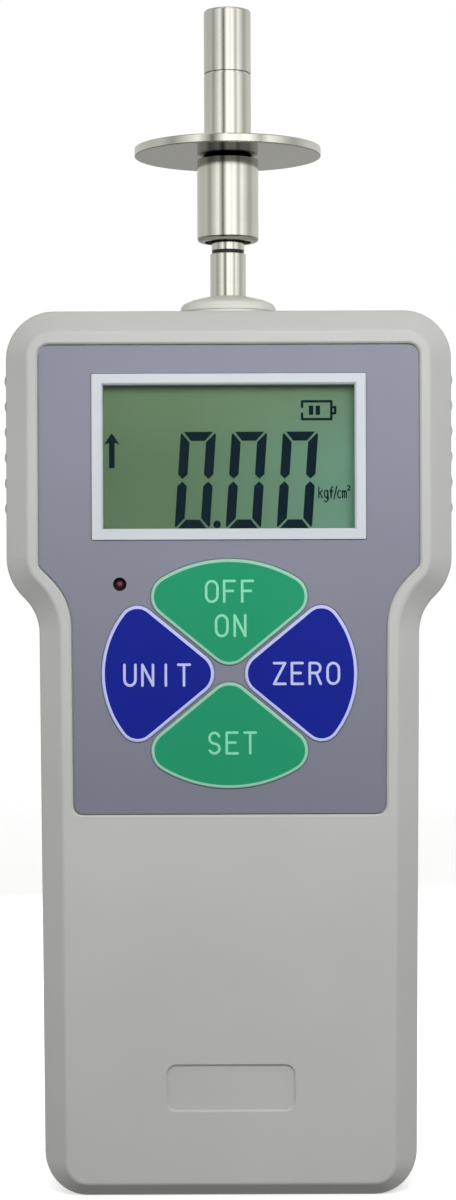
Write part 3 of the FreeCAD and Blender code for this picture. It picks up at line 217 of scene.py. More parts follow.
LCD_LEFT = (0.104, 0.170, 0.100)
LCD_RIGHT = (0.134, 0.268, 0.204)
LCD_TOP = (0.142, 0.213, 0.127)
LCD_CLOUD = (0.72, 0.78, 0.70)
LCD_CLOUD_SHARE = 0.16


def display_glass():
    """Grey green display: olive at the left and top, blue green at the right."""
    low, high = span("lcd_panel")
    look = Look("lcd_glass", LCD_LEFT, 0.45, Specular_IOR_Level=0.15)
    split = look.add("ShaderNodeSeparateXYZ")
    look.link(look.place, split.inputs["Vector"])
    across = look.ranged(split.outputs["X"], 0, 1, low.x * 0.3 * MM, high.x * MM)
    up = look.ranged(split.outputs["Z"], 0, 1, (low.z + high.z) / 2 * MM, high.z * MM)
    body = look.mixed(across, LCD_LEFT, LCD_RIGHT)
    body = look.mixed(up, body, LCD_TOP)
    deep = look.add("ShaderNodeMix", data_type="RGBA", blend_type="MULTIPLY")
    look.link(look.ranged(look.noise(60.0, 2.0), 0, LCD_CLOUD_SHARE), deep.inputs["Factor"])
    look.link(body, deep.inputs[COLOR_A])
    deep.inputs[COLOR_B].default_value = rgb(LCD_CLOUD)
    look.paint(deep.outputs[COLOR_OUT])
    look.uneven(300.0, 0.04)
    return look.material


# Painted shade on the film, for light that falls off downwards: its full colour reaches a given depth in
# millimetres under its top, and a given share of it remains at its foot
FILM_LIT_SPAN = 16.0
FILM_SHADE_FALL = 0.79


def overlay_film():
    """Printed satin film, with painted shade that makes it slowly darker towards its lower end."""
    low, high = span("panel_overlay")
    look = Look("overlay_film", PANEL_GREY, 0.42, Specular_IOR_Level=0.3)
    split = look.add("ShaderNodeSeparateXYZ")
    look.link(look.place, split.inputs["Vector"])
    up = look.ranged(split.outputs["Z"], 0, 1, low.z * MM, (high.z - FILM_LIT_SPAN) * MM)
    cloud = look.ranged(look.noise(35.0), -0.08, 0.08)
    share = look.add("ShaderNodeMath", operation="ADD", use_clamp=True)
    look.link(up, share.inputs[0])
    look.link(cloud, share.inputs[1])
    # Painted shade: the film's colour at its foot, darker where less light falls
    lower = tuple(c * FILM_SHADE_FALL for c in PANEL_GREY)
    look.paint(look.mixed(share.outputs["Value"], lower, PANEL_GREY))
    look.uneven(240.0, 0.05)
    look.relief(look.noise(1500.0, 2.0), 0.004 * MM)
    return look.material


WINDOW_COLOR = (0.20, 0.22, 0.21)
WINDOW_TINT = (0.97, 0.985, 0.97)
HAZE_LEAST = 0.003
HAZE_MOST = 0.008


def clear_sheet():
    """Clear acrylic that lets the light through, with a faint gloss."""
    material = bpy.data.materials.new("clear_window")
    material.use_nodes = True
    tree = material.node_tree
    shader = tree.nodes["Principled BSDF"]
    shader.inputs["Base Color"].default_value = rgb(WINDOW_COLOR)
    shader.inputs["Roughness"].default_value = 0.06
    clear = tree.nodes.new("ShaderNodeBsdfTransparent")
    clear.inputs["Color"].default_value = rgb(WINDOW_TINT)
    wear = tree.nodes.new("ShaderNodeTexNoise")
    wear.inputs["Scale"].default_value = 700.0
    place = tree.nodes.new("ShaderNodeTexCoord")
    tree.links.new(place.outputs["Object"], wear.inputs["Vector"])
    haze = tree.nodes.new("ShaderNodeMapRange")
    haze.inputs["From Min"].default_value = 0.3
    haze.inputs["From Max"].default_value = 0.8
    haze.inputs["To Min"].default_value = HAZE_LEAST
    haze.inputs["To Max"].default_value = HAZE_MOST
    tree.links.new(wear.outputs["Fac"], haze.inputs["Value"])
    mix = tree.nodes.new("ShaderNodeMixShader")
    tree.links.new(haze.outputs["Result"], mix.inputs["Fac"])
    tree.links.new(clear.outputs["BSDF"], mix.inputs[1])
    tree.links.new(shader.outputs["BSDF"], mix.inputs[2])
    tree.links.new(mix.outputs["Shader"], tree.nodes["Material Output"].inputs["Surface"])
    return material


# The lens's dark red, the colour of a painted highlight in its middle, and the radii where that highlight
# is full and where it has faded
LAMP_DARK = (0.020, 0.002, 0.003)
LAMP_HIGHLIGHT = (0.16, 0.035, 0.04)
HIGHLIGHT_CORE = 0.15
HIGHLIGHT_FADE = 0.6


def lamp_lens():
    """Dark red lens with a painted highlight that makes it lighter in the middle."""
    low, high = span("status_lamp")
    look = Look("lamp_red", LAMP_DARK, 0.18)
    away = look.add("ShaderNodeVectorMath", operation="DISTANCE")
    away.inputs[1].default_value = Vector(((low.x + high.x) / 2, low.y, (low.z + high.z) / 2)) * MM
    look.link(look.place, away.inputs[0])
    highlight_share = look.ranged(away.outputs["Value"], 1, 0, HIGHLIGHT_CORE * MM, HIGHLIGHT_FADE * MM)
    look.paint(look.mixed(highlight_share, LAMP_DARK, LAMP_HIGHLIGHT))
    look.uneven(900.0, 0.05)
    return look.material


BOARD_GREEN = (0.015, 0.11, 0.045)
TRACK_GREEN = (0.03, 0.19, 0.08)


def board_laminate():
    """Green board with faint tracks."""
    look = Look("board_laminate", BOARD_GREEN, 0.35)
    tracks = look.add("ShaderNodeTexVoronoi", feature="DISTANCE_TO_EDGE", distance="MANHATTAN")
    tracks.inputs["Scale"].default_value = 420.0
    look.link(look.place, tracks.inputs["Vector"])
    track = look.ranged(tracks.outputs["Distance"], 1, 0, 0.06, 0.12)
    look.paint(look.mixed(track, BOARD_GREEN, TRACK_GREEN))
    look.relief(track, 0.02 * MM)
    return look.material


def shrink_film(name, color):
    """Shrink tube with slow wrinkles."""
    look = Look(name, color, 0.3)
    look.mottle(50.0, 0.08)
    look.relief(look.noise(320.0, 3.0), 0.05 * MM)
    return look.material


CASE_GREY = (0.450, 0.456, 0.442)
COLLAR_GREY = (0.560, 0.566, 0.525)
PANEL_GREY = (0.216, 0.221, 0.280)
GREEN = (0.013, 0.256, 0.124)
BLUE = (0.004, 0.012, 0.236)
MINT = (0.200, 0.620, 0.390)
PALE_MINT = (0.255, 0.500, 0.385)
LAVENDER = (0.440, 0.475, 0.780)
STEEL = (0.665, 0.660, 0.598)
KEY_SKIN = {"grain": 1500.0, "depth": 0.003, "Specular_IOR_Level": 0.15}

LOOKS = {
    "case_plastic": moulded("case_plastic", CASE_GREY, 0.50),
    "collar_plastic": moulded("collar_plastic", COLLAR_GREY, 0.45),
    "overlay_film": overlay_film(),
    "frame_white": moulded("frame_white", (0.510, 0.547, 0.585), 0.45, depth=0.003, drift=0.02),
    "clear_window": clear_sheet(),
    "lcd_glass": display_glass(),
    "backlight": moulded("backlight", (0.75, 0.76, 0.70), 0.5),
    "plated_steel": rolled_steel("plated_steel", (0.62, 0.61, 0.58), 0.28),
    "lamp_red": lamp_lens(),
    "dark_plastic": moulded("dark_plastic", (0.014, 0.014, 0.016), 0.45),
    "board_laminate": board_laminate(),
    "plug_plastic": moulded("plug_plastic", (0.70, 0.68, 0.58), 0.4),
    "cell_aluminium": rolled_steel("cell_aluminium", (0.66, 0.67, 0.68), 0.32),
    "gauge_film": moulded("gauge_film", (0.45, 0.20, 0.03), 0.3),
    "screw_steel": rolled_steel("screw_steel", (0.50, 0.50, 0.50), 0.30),
    "plate_steel": rolled_steel("plate_steel", (0.55, 0.56, 0.57), 0.34),
    "cell_jacket": moulded("cell_jacket", (0.02, 0.09, 0.28), 0.3),
    "shrink_film": shrink_film("shrink_film", (0.02, 0.10, 0.32)),
    "washer_rubber": moulded("washer_rubber", (0.010, 0.010, 0.010), 0.40, grain=1200.0),
    "foam": moulded("foam", (0.03, 0.03, 0.032), 0.9, grain=900.0, depth=0.15),
    "lead_red": moulded("lead_red", (0.35, 0.02, 0.015), 0.45),
    "lead_black": moulded("lead_black", (0.012, 0.012, 0.013), 0.45),
    "lead_grey": moulded("lead_grey", (0.28, 0.28, 0.29), 0.45),
    "polished_steel": turned_steel("polished_steel", STEEL, 0.12),
    "key_green": moulded("key_green", GREEN, 0.42, drift=0.05, **KEY_SKIN),
    "key_blue": moulded("key_blue", BLUE, 0.42, drift=0.06, **KEY_SKIN),
}
mint_print = moulded("mint_print", MINT, 0.45, depth=0.002, drift=0.05)
pale_mint_print = moulded("pale_mint_print", PALE_MINT, 0.45, depth=0.002, drift=0.05)
lavender_print = moulded("lavender_print", LAVENDER, 0.45, depth=0.002, drift=0.05)
lcd_ink = moulded("lcd_ink", (0.001, 0.010, 0.017), 0.5, depth=0.001, drift=0.15, Specular_IOR_Level=0.1)


def wear(piece, material):
    piece.data.materials.clear()
    piece.data.materials.append(material)


for part in frame["record"]["subparts"]:
    wear(nodes[part["node"]], LOOKS[part["material_slot"]])


# Flat prints: closed slabs, a hair thick, that face the reader along -Y

PRINT_PROUD = 0.02
PRINT_SUNK = 0.01
LAYER_STEP = 0.002
LAYERS = 5
CAP_STEPS = 7


class Print:
    """A mesh of thin slabs on a face at one Y, drawn in the plane of X and Z."""

    def __init__(self, name, face_y, material, body, slot):
        self.mesh = bmesh.new()
        self.face_y = face_y
        self.name = name
        self.finish = (material, body, slot)
        self.count = 0

    def next_front(self):
        """The front's Y for the next slab. It differs from its neighbours', so no two faces fight."""
        self.count += 1
        return self.face_y - PRINT_PROUD - LAYER_STEP * (self.count % LAYERS)

    def slab(self, outline):
        """One closed slab with an outline of (x, z) points in millimetres."""
        area = sum(a[0] * b[1] - b[0] * a[1] for a, b in zip(outline, outline[1:] + outline[:1]))
        points = outline if area > 0 else outline[::-1]
        front_y = self.next_front()
        back = [self.mesh.verts.new((x * MM, (self.face_y + PRINT_SUNK) * MM, z * MM)) for x, z in points]
        front = [self.mesh.verts.new((x * MM, front_y * MM, z * MM)) for x, z in points]
        self.mesh.faces.new(front)
        self.mesh.faces.new(back[::-1])
        for i in range(len(points)):
            j = (i + 1) % len(points)
            self.mesh.faces.new((front[i], back[i], back[j], front[j]))

    def stroke(self, points, wide):
        """A line of even width with round ends."""
        path = [Vector(p) for p in points]
        ways = [(b - a).normalized() for a, b in zip(path, path[1:])]
        left = []
        right = []
        for i, point in enumerate(path):
            before = ways[max(i - 1, 0)]
            after = ways[min(i, len(ways) - 1)]
            way = (before + after).normalized()
            out = Vector((-way.y, way.x)) * (wide / 2 / max(0.5, way.dot(after)))
            left.append(tuple(point + out))
            right.append(tuple(point - out))
        self.slab(left + cap(path[-1], ways[-1], wide) + right[::-1] + cap(path[0], -ways[0], wide))

    def ring(self, points, wide):
        """A closed line of even width."""
        path = [Vector(p) for p in points]
        count = len(path)
        inner = []
        outer = []
        for i, point in enumerate(path):
            way = (path[(i + 1) % count] - path[i - 1]).normalized()
            out = Vector((-way.y, way.x)) * wide / 2
            inner.append(point + out)
            outer.append(point - out)
        front_y = self.next_front()
        back_y = self.face_y + PRINT_SUNK
        loops = [[self.mesh.verts.new((p.x * MM, y * MM, p.y * MM)) for p in side]
                 for side, y in ((inner, front_y), (outer, front_y), (outer, back_y), (inner, back_y))]
        join_loops(self.mesh, loops)

    def done(self):
        bmesh.ops.recalc_face_normals(self.mesh, faces=self.mesh.faces)
        return finish_piece(self.name, self.mesh, *self.finish)


def cap(centre, way, wide):
    """The points of a round end, from its left to its right side."""
    side = Vector((-way.y, way.x))
    return [tuple(centre + (side * math.cos(a) + way * math.sin(a)) * wide / 2)
            for a in (math.pi * i / CAP_STEPS for i in range(1, CAP_STEPS))]


def join_loops(mesh, loops):
    """Faces between loops of equal length, and from the last back to the first."""
    count = len(loops[0])
    for a, b in zip(loops, loops[1:] + loops[:1]):
        for i in range(count):
            j = (i + 1) % count
            mesh.faces.new((a[i], a[j], b[j], b[i]))


def finish_piece(name, mesh, material, body, slot):
    data = bpy.data.meshes.new(name)
    mesh.to_mesh(data)
    mesh.free()
    piece = bpy.data.objects.new(name, data)
    bpy.context.collection.objects.link(piece)
    wear(piece, material)
    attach(piece, body)
    return piece


# Pale line round each key, from the rim of its face over its rounded edge

LINE_WIDE = 0.28
KEY_EDGE = 0.25
LINE_LIFT = 0.012
EDGE_STEPS = 5
SAME_SPOT = 1e-4


def face_rim(node):
    """The rim of a node's flat front face, in order, as (x, z) points in millimetres."""
    data = nodes[node].data
    front_y = span(node)[0].y
    spots = {}
    sides = {}
    for polygon in data.polygons:
        corners = [data.vertices[v].co / MM for v in polygon.vertices]
        if any(abs(c.y - front_y) > SAME_SPOT for c in corners):
            continue
        keys = [(round(c.x, 4), round(c.z, 4)) for c in corners]
        for key, corner in zip(keys, corners):
            spots[key] = Vector((corner.x, corner.z))
        for a, b in zip(keys, keys[1:] + keys[:1]):
            sides[frozenset((a, b))] = sides.get(frozenset((a, b)), 0) + 1
    follow = {}
    for side, uses in sides.items():
        if uses == 1:
            a, b = side
            follow.setdefault(a, []).append(b)
            follow.setdefault(b, []).append(a)
    start = max(follow)
    rim = [start]
    before = None
    while True:
        here = rim[-1]
        after = next(p for p in follow[here] if p != before)
        if after == start:
            return [spots[p] for p in rim]
        rim.append(after)
        before = here


def key_line(key, material, slot):
    rim = face_rim(key)
    front_y = span(key)[0].y
    count = len(rim)
    centre = sum(rim, Vector((0, 0))) / count
    outs = []
    for i, point in enumerate(rim):
        way = (rim[(i + 1) % count] - rim[i - 1]).normalized()
        out = Vector((way.y, -way.x))
        outs.append(out if out.dot(point - centre) > 0 else -out)
    # Cross-section of the line: how far out from the rim, and how far behind the face
    section = []
    for i in range(EDGE_STEPS + 1):
        angle = math.pi / 2 * i / EDGE_STEPS
        section.append((math.cos(angle) * (KEY_EDGE + LINE_LIFT),
                        KEY_EDGE - math.sin(angle) * (KEY_EDGE + LINE_LIFT)))
    section.append((-LINE_WIDE, -LINE_LIFT))
    section.append((-LINE_WIDE, LINE_LIFT))
    section.append((0, LINE_LIFT))
    section.append((KEY_EDGE - LINE_LIFT, KEY_EDGE))
    mesh = bmesh.new()
    loops = [[mesh.verts.new(((p.x + n.x * out) * MM, (front_y + deep) * MM, (p.y + n.y * out) * MM))
              for p, n in zip(rim, outs)] for out, deep in section]
    join_loops(mesh, loops)
    bmesh.ops.recalc_face_normals(mesh, faces=mesh.faces)
    return finish_piece(key + "_line", mesh, material, key, slot)


# Letters as strokes in a box 0.6 wide and 1 tall; a ring is a closed line

ARC_STEPS = 8
LETTER_WIDE = 0.6


def arc(centre, radius, start, end, squash=1.0):
    """Points of an arc in degrees; squash scales it along Z."""
    return [(centre[0] + radius * math.cos(math.radians(start + (end - start) * i / ARC_STEPS)),
             centre[1] + radius * squash * math.sin(math.radians(start + (end - start) * i / ARC_STEPS)))
            for i in range(ARC_STEPS + 1)]


ROUND = LETTER_WIDE / 2
OVAL = arc((ROUND, 1 - ROUND), ROUND, 0, 180) + arc((ROUND, ROUND), ROUND, 180, 360)
LETTERS = {
    "O": [("ring", OVAL)],
    "F": [[(0, 0), (0, 1), (0.56, 1)], [(0, 0.52), (0.46, 0.52)]],
    "N": [[(0, 0), (0, 1)], [(0, 1), (0.56, 0)], [(0.56, 0), (0.56, 1)]],
    "U": [[(0, 1), (0, 0.28)] + arc((0.29, 0.29), 0.29, 180, 360)[1:] + [(0.58, 1)]],
    "I": [[(0.29, 0), (0.29, 1)]],
    "T": [[(0, 1), (0.6, 1)], [(0.3, 1), (0.3, 0)]],
    "Z": [[(0, 1), (0.58, 1)], [(0.58, 1), (0, 0)], [(0, 0), (0.6, 0)]],
    "E": [[(0.56, 1), (0, 1)], [(0, 1), (0, 0)], [(0, 0), (0.58, 0)], [(0, 0.52), (0.46, 0.52)]],
    "R": [[(0, 0), (0, 1)], [(0, 1), (0.32, 1)] + arc((0.32, 0.76), 0.24, 90, -90)[1:] + [(0, 0.52)],
          [(0.34, 0.52), (0.58, 0)]],
    "S": [arc((0.29, 0.735), 0.265, 20, 270) + arc((0.29, 0.235), 0.27, 90, -155, 0.87)[1:]],
}
GLYPH_TALL = 3.35
GLYPH_WIDE = 3.05
GLYPH_LINE = 0.41
# Each word with the X of its middle, the Z of its middle and the pitch of its letters
WORDS = {
    "key_on_off": [("OFF", 0.1, 97.8, 2.91), ("ON", 0.28, 92.25, 3.0)],
    "key_set": [("SET", 0.43, 73.3, 2.87)],
    "key_unit": [("UNIT", -11.7, 84.3, 2.9)],
    "key_zero": [("ZERO", 12.44, 84.5, 2.88)],
}


def write(surface, word, middle, low, pitch, tall, wide, line):
    """Write a word centred on an X, with its foot at a level."""
    start = middle - (pitch * (len(word) - 1) + LETTER_WIDE * wide) / 2
    for i, letter in enumerate(word):
        for shape in LETTERS[letter]:
            closed = shape[0] == "ring"
            drawn = shape[1] if closed else shape
            points = [(start + pitch * i + x * wide, low + y * tall) for x, y in drawn]
            if closed:
                surface.ring(points, line)
            else:
                surface.stroke(points, line)


def key_print(key, material, slot):
    surface = Print(key + "_print", span(key)[0].y, material, key, slot)
    for word, middle, level, pitch in WORDS[key]:
        write(surface, word, middle, level - GLYPH_TALL / 2, pitch, GLYPH_TALL, GLYPH_WIDE, GLYPH_LINE)
    surface.done()


GREEN_INKS = (pale_mint_print, mint_print, "key_green")
BLUE_INKS = (lavender_print, lavender_print, "key_blue")
KEY_INKS = {
    "key_on_off": GREEN_INKS,
    "key_set": GREEN_INKS,
    "key_unit": BLUE_INKS,
    "key_zero": BLUE_INKS,
}
for key, (line_ink, ink, slot_name) in KEY_INKS.items():
    key_line(key, line_ink, slot_name)
    key_print(key, ink, slot_name)


# Signs on the display

DIGIT_LOW = 108.0
DIGIT_TALL = 15.75
DIGIT_WIDE = 5.75
DIGIT_PITCH = 8.3
DIGIT_START = -8.85
DIGIT_SLANT = 0.068
BAR = 1.48
POST = 1.55
SEGMENT_GAP = 0.2
CORNER_CUT = 0.28
CORNER_SHARE = 0.6
POINT_RISE = 0.75


def segments():
    """The six lit segments of a zero, in the digit's own upright frame."""
    w, t, g, cut = DIGIT_WIDE, DIGIT_TALL, SEGMENT_GAP, CORNER_CUT
    slope = (POST - cut) / BAR
    top = [(cut + g, t), (w - cut - g, t), (w - POST - g, t - BAR), (POST + g, t - BAR)]
    middle = t / 2
    foot = middle + g + POINT_RISE
    post = [(0, t - cut - g), (cut * CORNER_SHARE, t - g), (POST, t - BAR - g / slope), (POST, foot),
            (POST / 2, middle + g), (0, foot)]
    upper = [top, post, [(w - x, z) for x, z in post]]
    return upper + [[(x, t - z) for x, z in shape] for shape in upper]


def display_signs():
    signs = Print("lcd_signs", span("lcd_panel")[0].y, lcd_ink, "case", "lcd_glass")
    for i in range(3):
        left = DIGIT_START + DIGIT_PITCH * i
        for shape in segments():
            signs.slab([(left + x + z * DIGIT_SLANT, DIGIT_LOW + z) for x, z in shape])
    dot_x, dot_z = DOT_SPOT
    signs.slab([(dot_x + DOT_RADIUS * math.cos(a), dot_z + DOT_RADIUS * math.sin(a))
                for a in (math.tau * i / DOT_STEPS for i in range(DOT_STEPS))])
    arrow_sign(signs)
    battery_sign(signs)
    unit_sign(signs)
    signs.done()


DOT_SPOT = (-1.93, 108.7)
DOT_RADIUS = 0.62
DOT_STEPS = 20
ARROW_X = -19.0
ARROW_LOW = 117.9
ARROW_TOP = 123.45
ARROW_HEAD = 1.75
ARROW_WING = 1.28
ARROW_STEM = 0.46
ARROW_BARB = 0.3
ARROW_BLUNT = 0.12


def arrow_sign(signs):
    wing = ARROW_TOP - ARROW_HEAD
    neck = wing + ARROW_BARB
    signs.slab([(ARROW_X - ARROW_STEM, ARROW_LOW), (ARROW_X + ARROW_STEM, ARROW_LOW),
                (ARROW_X + ARROW_STEM, neck), (ARROW_X + ARROW_WING, wing),
                (ARROW_X + ARROW_BLUNT, ARROW_TOP), (ARROW_X - ARROW_BLUNT, ARROW_TOP),
                (ARROW_X - ARROW_WING, wing), (ARROW_X - ARROW_STEM, neck)])


CELL_LEFT = 11.95
CELL_RIGHT = 16.7
CELL_LOW = 125.75
CELL_TOP = 128.65
CELL_LINE = 0.40
CELL_STUB = 0.9
NUB_HALF = 0.5
NUB_DEEP = 0.62
CELL_BARS = (13.05, 14.15)
CELL_BAR_WIDE = 0.72
CELL_BAR_HALF = 0.75


def battery_sign(signs):
    """A cell outline, open in the middle of its left side, with two bars and a nub."""
    middle = (CELL_LOW + CELL_TOP) / 2
    nub_low, nub_top, nub_end = middle - NUB_HALF, middle + NUB_HALF, CELL_RIGHT + NUB_DEEP
    lines = [
        [(CELL_LEFT, CELL_TOP - CELL_STUB), (CELL_LEFT, CELL_TOP)],
        [(CELL_LEFT, CELL_TOP), (CELL_RIGHT, CELL_TOP)],
        [(CELL_RIGHT, CELL_TOP), (CELL_RIGHT, CELL_LOW)],
        [(CELL_RIGHT, CELL_LOW), (CELL_LEFT, CELL_LOW)],
        [(CELL_LEFT, CELL_LOW), (CELL_LEFT, CELL_LOW + CELL_STUB)],
        [(CELL_RIGHT, nub_top), (nub_end, nub_top)],
        [(nub_end, nub_top), (nub_end, nub_low)],
        [(nub_end, nub_low), (CELL_RIGHT, nub_low)],
    ]
    for line in lines:
        signs.stroke(line, CELL_LINE)
    low, top = middle - CELL_BAR_HALF, middle + CELL_BAR_HALF
    for left in CELL_BARS:
        right = left + CELL_BAR_WIDE
        signs.slab([(left, low), (right, low), (right, top), (left, top)])


UNIT_LEFT = 14.62
UNIT_LOW = 112.95
UNIT_TALL = 1.75
UNIT_WIDE = 0.58
UNIT_STEPS = (0.88, 0.92, 0.60, 0.66, 0.78, 0.86, 0.6)
UNIT_LINE = 0.20
SMALL_BOWL = 0.5
# Strokes of k, g, f, the slash, c, m and the raised 2
UNIT_LETTERS = [
    [[(0, 0), (0, 1)], [(0, 0.32), (1, 0.72)], [(0.35, 0.46), (1, 0)]],
    [arc((SMALL_BOWL, 0.36), SMALL_BOWL, 0, 330, 0.68),
     [(1, 0.7), (1, -0.15)] + arc((SMALL_BOWL, -0.15), SMALL_BOWL, 0, -150, 0.4)],
    [[(0.35, 0), (0.35, 0.78)] + arc((0.75, 0.78), 0.4, 180, 70, 0.6), [(0, 0.62), (0.9, 0.62)]],
    [[(0.1, -0.1), (0.9, 1.05)]],
    [arc((SMALL_BOWL, 0.34), SMALL_BOWL, 50, 310, 0.68)],
    [[(0, 0), (0, 0.66)], arc((0.27, 0.44), 0.27, 180, 0, 0.8) + [(0.54, 0)],
     arc((0.81, 0.44), 0.27, 180, 0, 0.8) + [(1.08, 0)]],
    [arc((0.3, 1.0), 0.28, 150, -40, 0.5) + [(0.05, 0.72), (0.6, 0.72)]],
]


def unit_sign(signs):
    """The unit of force on an area, small and narrow."""
    left = UNIT_LEFT
    for shapes, step in zip(UNIT_LETTERS, UNIT_STEPS):
        for shape in shapes:
            points = [(left + x * UNIT_WIDE, UNIT_LOW + z * UNIT_TALL) for x, z in shape]
            signs.stroke(points, UNIT_LINE)
        left += step


display_signs()


# Stage: pale floor, white backdrop, studio with soft bright strips

FLOOR_RADIUS = 0.9
FLOOR_SIDES = 96
FADE_START = 0.35
FADE_END = FLOOR_RADIUS * 0.95
FLOOR_COLOR = (0.84, 0.84, 0.83)
FLOOR_BELOW = 0.1
FLOOR_GLOW = 0.62


def make_floor():
    """A pale round floor that fades into the white backdrop."""
    mesh = bmesh.new()
    bmesh.ops.create_circle(mesh, cap_ends=True, segments=FLOOR_SIDES, radius=FLOOR_RADIUS)
    data = bpy.data.meshes.new("floor")
    mesh.to_mesh(data)
    mesh.free()
    floor = bpy.data.objects.new("floor", data)
    bpy.context.collection.objects.link(floor)
    floor.location.z = -FLOOR_BELOW * MM
    floor.visible_diffuse = False
    floor.visible_glossy = False
    look = Look("floor_paper", FLOOR_COLOR, 0.7, Emission_Color=rgb(FLOOR_COLOR),
                Emission_Strength=FLOOR_GLOW)
    look.mottle(6.0, 0.01)
    length = look.add("ShaderNodeVectorMath", operation="LENGTH")
    look.link(look.place, length.inputs[0])
    seen = look.ranged(length.outputs["Value"], 1, 0, FADE_START, FADE_END)
    clear = look.add("ShaderNodeBsdfTransparent")
    mix = look.add("ShaderNodeMixShader")
    look.link(seen, mix.inputs["Fac"])
    look.link(clear.outputs["BSDF"], mix.inputs[1])
    look.link(look.shader.outputs["BSDF"], mix.inputs[2])
    look.link(mix.outputs["Shader"], look.tree.nodes["Material Output"].inputs["Surface"])
    wear(floor, look.material)


# Brightness round the horizon, from -180 behind, over 0 in front, to 180 behind
AROUND = [(-180, 0.98), (-105, 0.92), (-90, 1.00), (-72, 0.62), (-49, 1.35), (-37, 1.90), (-18, 0.20),
          (-4, 2.15), (2, 2.45), (14, 1.95), (24, 2.45), (41, 0.95), (52, 2.00), (80, 0.95), (89, 0.78),
          (115, 1.12), (180, 1.05)]
# What shiny surfaces see below the horizon, round it: dark in front, bright behind
BELOW = [(-180, 1.3), (-100, 0.9), (-60, 0.3), (0, 0.30), (60, 0.3), (100, 0.9), (180, 1.3)]
# Brightness by the sine of the height above the horizon
UPWARDS = [(-1.0, 0.31), (-0.3, 0.36), (-0.04, 0.42), (0.03, 0.6), (0.09, 1.0), (0.5, 0.82), (1.0, 0.85)]
# Sines of the angle below the horizon where BELOW starts to count and where it counts in full
BELOW_START = -0.02
BELOW_FULL = -0.10
STUDIO_TINT = (1.0, 0.995, 0.975)
STUDIO_LEVEL = 0.72
# Share of the studio's light that reaches rays other than those of shiny surfaces
SOFT_SHARE = 0.64
BACKDROP = 1.0


def ramp(tree, stops, low, high):
    made = tree.nodes.new("ShaderNodeValToRGB")
    made.color_ramp.interpolation = "LINEAR"
    elements = made.color_ramp.elements
    while len(elements) < len(stops):
        elements.new(0.5)
    for element, (place, level) in zip(elements, stops):
        element.position = (place - low) / (high - low)
        element.color = (level, level, level, 1.0)
    return made


def math_node(tree, operation, *values):
    made = tree.nodes.new("ShaderNodeMath")
    made.operation = operation
    for socket, value in zip(made.inputs, values):
        if isinstance(value, (int, float)):
            socket.default_value = value
        else:
            tree.links.new(value, socket)
    return made.outputs["Value"]


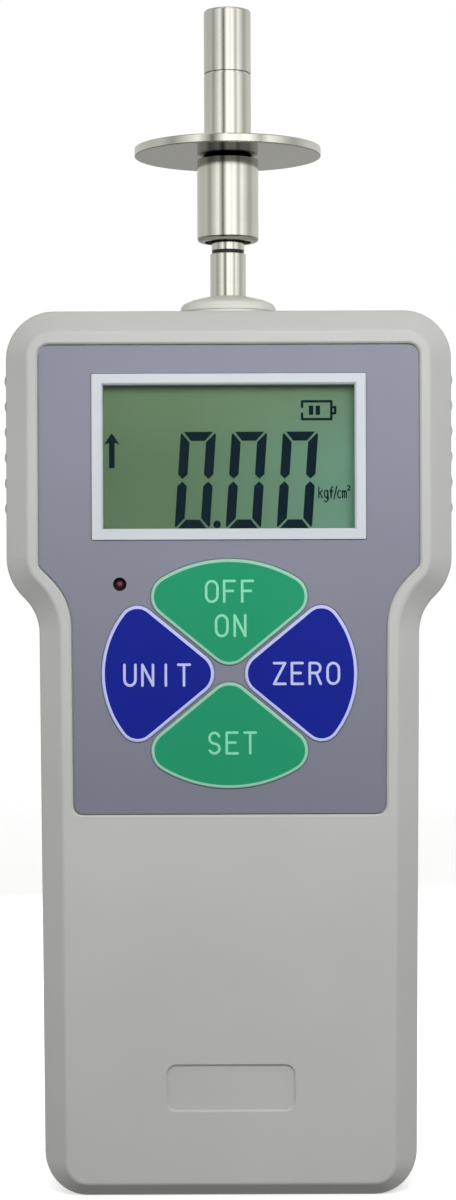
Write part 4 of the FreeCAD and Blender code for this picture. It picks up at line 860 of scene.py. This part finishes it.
def make_world():
    """The studio lights the object; the camera sees a white backdrop."""
    world = bpy.data.worlds.new("studio")
    bpy.context.scene.world = world
    world.use_nodes = True
    tree = world.node_tree
    place = tree.nodes.new("ShaderNodeTexCoord")
    split = tree.nodes.new("ShaderNodeSeparateXYZ")
    tree.links.new(place.outputs["Generated"], split.inputs["Vector"])
    ahead = math_node(tree, "MULTIPLY", split.outputs["Y"], -1.0)
    angle = math_node(tree, "ARCTAN2", split.outputs["X"], ahead)
    turn = math_node(tree, "MULTIPLY_ADD", angle, 0.5 / math.pi, 0.5)
    around = ramp(tree, AROUND, -180, 180)
    tree.links.new(turn, around.inputs["Fac"])
    height = math_node(tree, "MULTIPLY_ADD", split.outputs["Z"], 0.5, 0.5)
    upwards = ramp(tree, UPWARDS, -1, 1)
    tree.links.new(height, upwards.inputs["Fac"])
    level = math_node(tree, "MULTIPLY", around.outputs["Color"], upwards.outputs["Color"])
    path = tree.nodes.new("ShaderNodeLightPath")
    below = ramp(tree, BELOW, -180, 180)
    tree.links.new(turn, below.inputs["Fac"])
    sunk = tree.nodes.new("ShaderNodeMapRange")
    sunk.inputs["From Min"].default_value = BELOW_START
    sunk.inputs["From Max"].default_value = BELOW_FULL
    tree.links.new(split.outputs["Z"], sunk.inputs["Value"])
    change = math_node(tree, "ADD", below.outputs["Color"], -1.0)
    gloss = math_node(tree, "MULTIPLY_ADD", change, sunk.outputs["Result"], 1.0)
    chosen = tree.nodes.new("ShaderNodeMix")
    chosen.inputs[NUMBER_A].default_value = SOFT_SHARE
    tree.links.new(path.outputs["Is Glossy Ray"], chosen.inputs["Factor"])
    tree.links.new(gloss, chosen.inputs[NUMBER_B])
    level = math_node(tree, "MULTIPLY", level, chosen.outputs[NUMBER_OUT])
    studio = tree.nodes["Background"]
    studio.inputs["Color"].default_value = rgb(STUDIO_TINT)
    tree.links.new(math_node(tree, "MULTIPLY", level, STUDIO_LEVEL), studio.inputs["Strength"])
    backdrop = tree.nodes.new("ShaderNodeBackground")
    backdrop.inputs["Color"].default_value = rgb((1.0, 1.0, 1.0))
    backdrop.inputs["Strength"].default_value = BACKDROP
    mix = tree.nodes.new("ShaderNodeMixShader")
    tree.links.new(path.outputs["Is Camera Ray"], mix.inputs["Fac"])
    tree.links.new(studio.outputs["Background"], mix.inputs[1])
    tree.links.new(backdrop.outputs["Background"], mix.inputs[2])
    tree.links.new(mix.outputs["Shader"], tree.nodes["World Output"].inputs["Surface"])


def soft_light(name, spot, target, wide, tall, power):
    """A panel that lights the surfaces; the bright strips of the studio make the reflections."""
    data = bpy.data.lights.new(name, "AREA")
    data.shape = "RECTANGLE"
    data.size = wide
    data.size_y = tall
    data.energy = power
    light = bpy.data.objects.new(name, data)
    light.location = spot
    light.rotation_euler = (Vector(target) - Vector(spot)).to_track_quat("-Z", "Y").to_euler()
    light.visible_camera = False
    light.visible_glossy = False
    bpy.context.collection.objects.link(light)


MIDDLE = (0, 0, 0.10)
# Each light's name, place, target, width and height in metres, and its power in watts
LIGHTS = [
    ("key_light", (0.045, -0.235, 0.195), (0, 0, 0.13), 0.20, 0.09, 0.47),
    ("left_light", (-0.34, -0.09, 0.12), MIDDLE, 0.25, 0.25, 0.34),
    ("right_light", (0.34, -0.09, 0.12), MIDDLE, 0.25, 0.25, 0.14),
    ("back_light", (-0.08, 0.36, 0.22), MIDDLE, 0.30, 0.30, 0.9),
]

make_camera()
make_floor()
make_world()
for light_plan in LIGHTS:
    soft_light(*light_plan)
bpy.context.scene.view_settings.view_transform = "Standard"
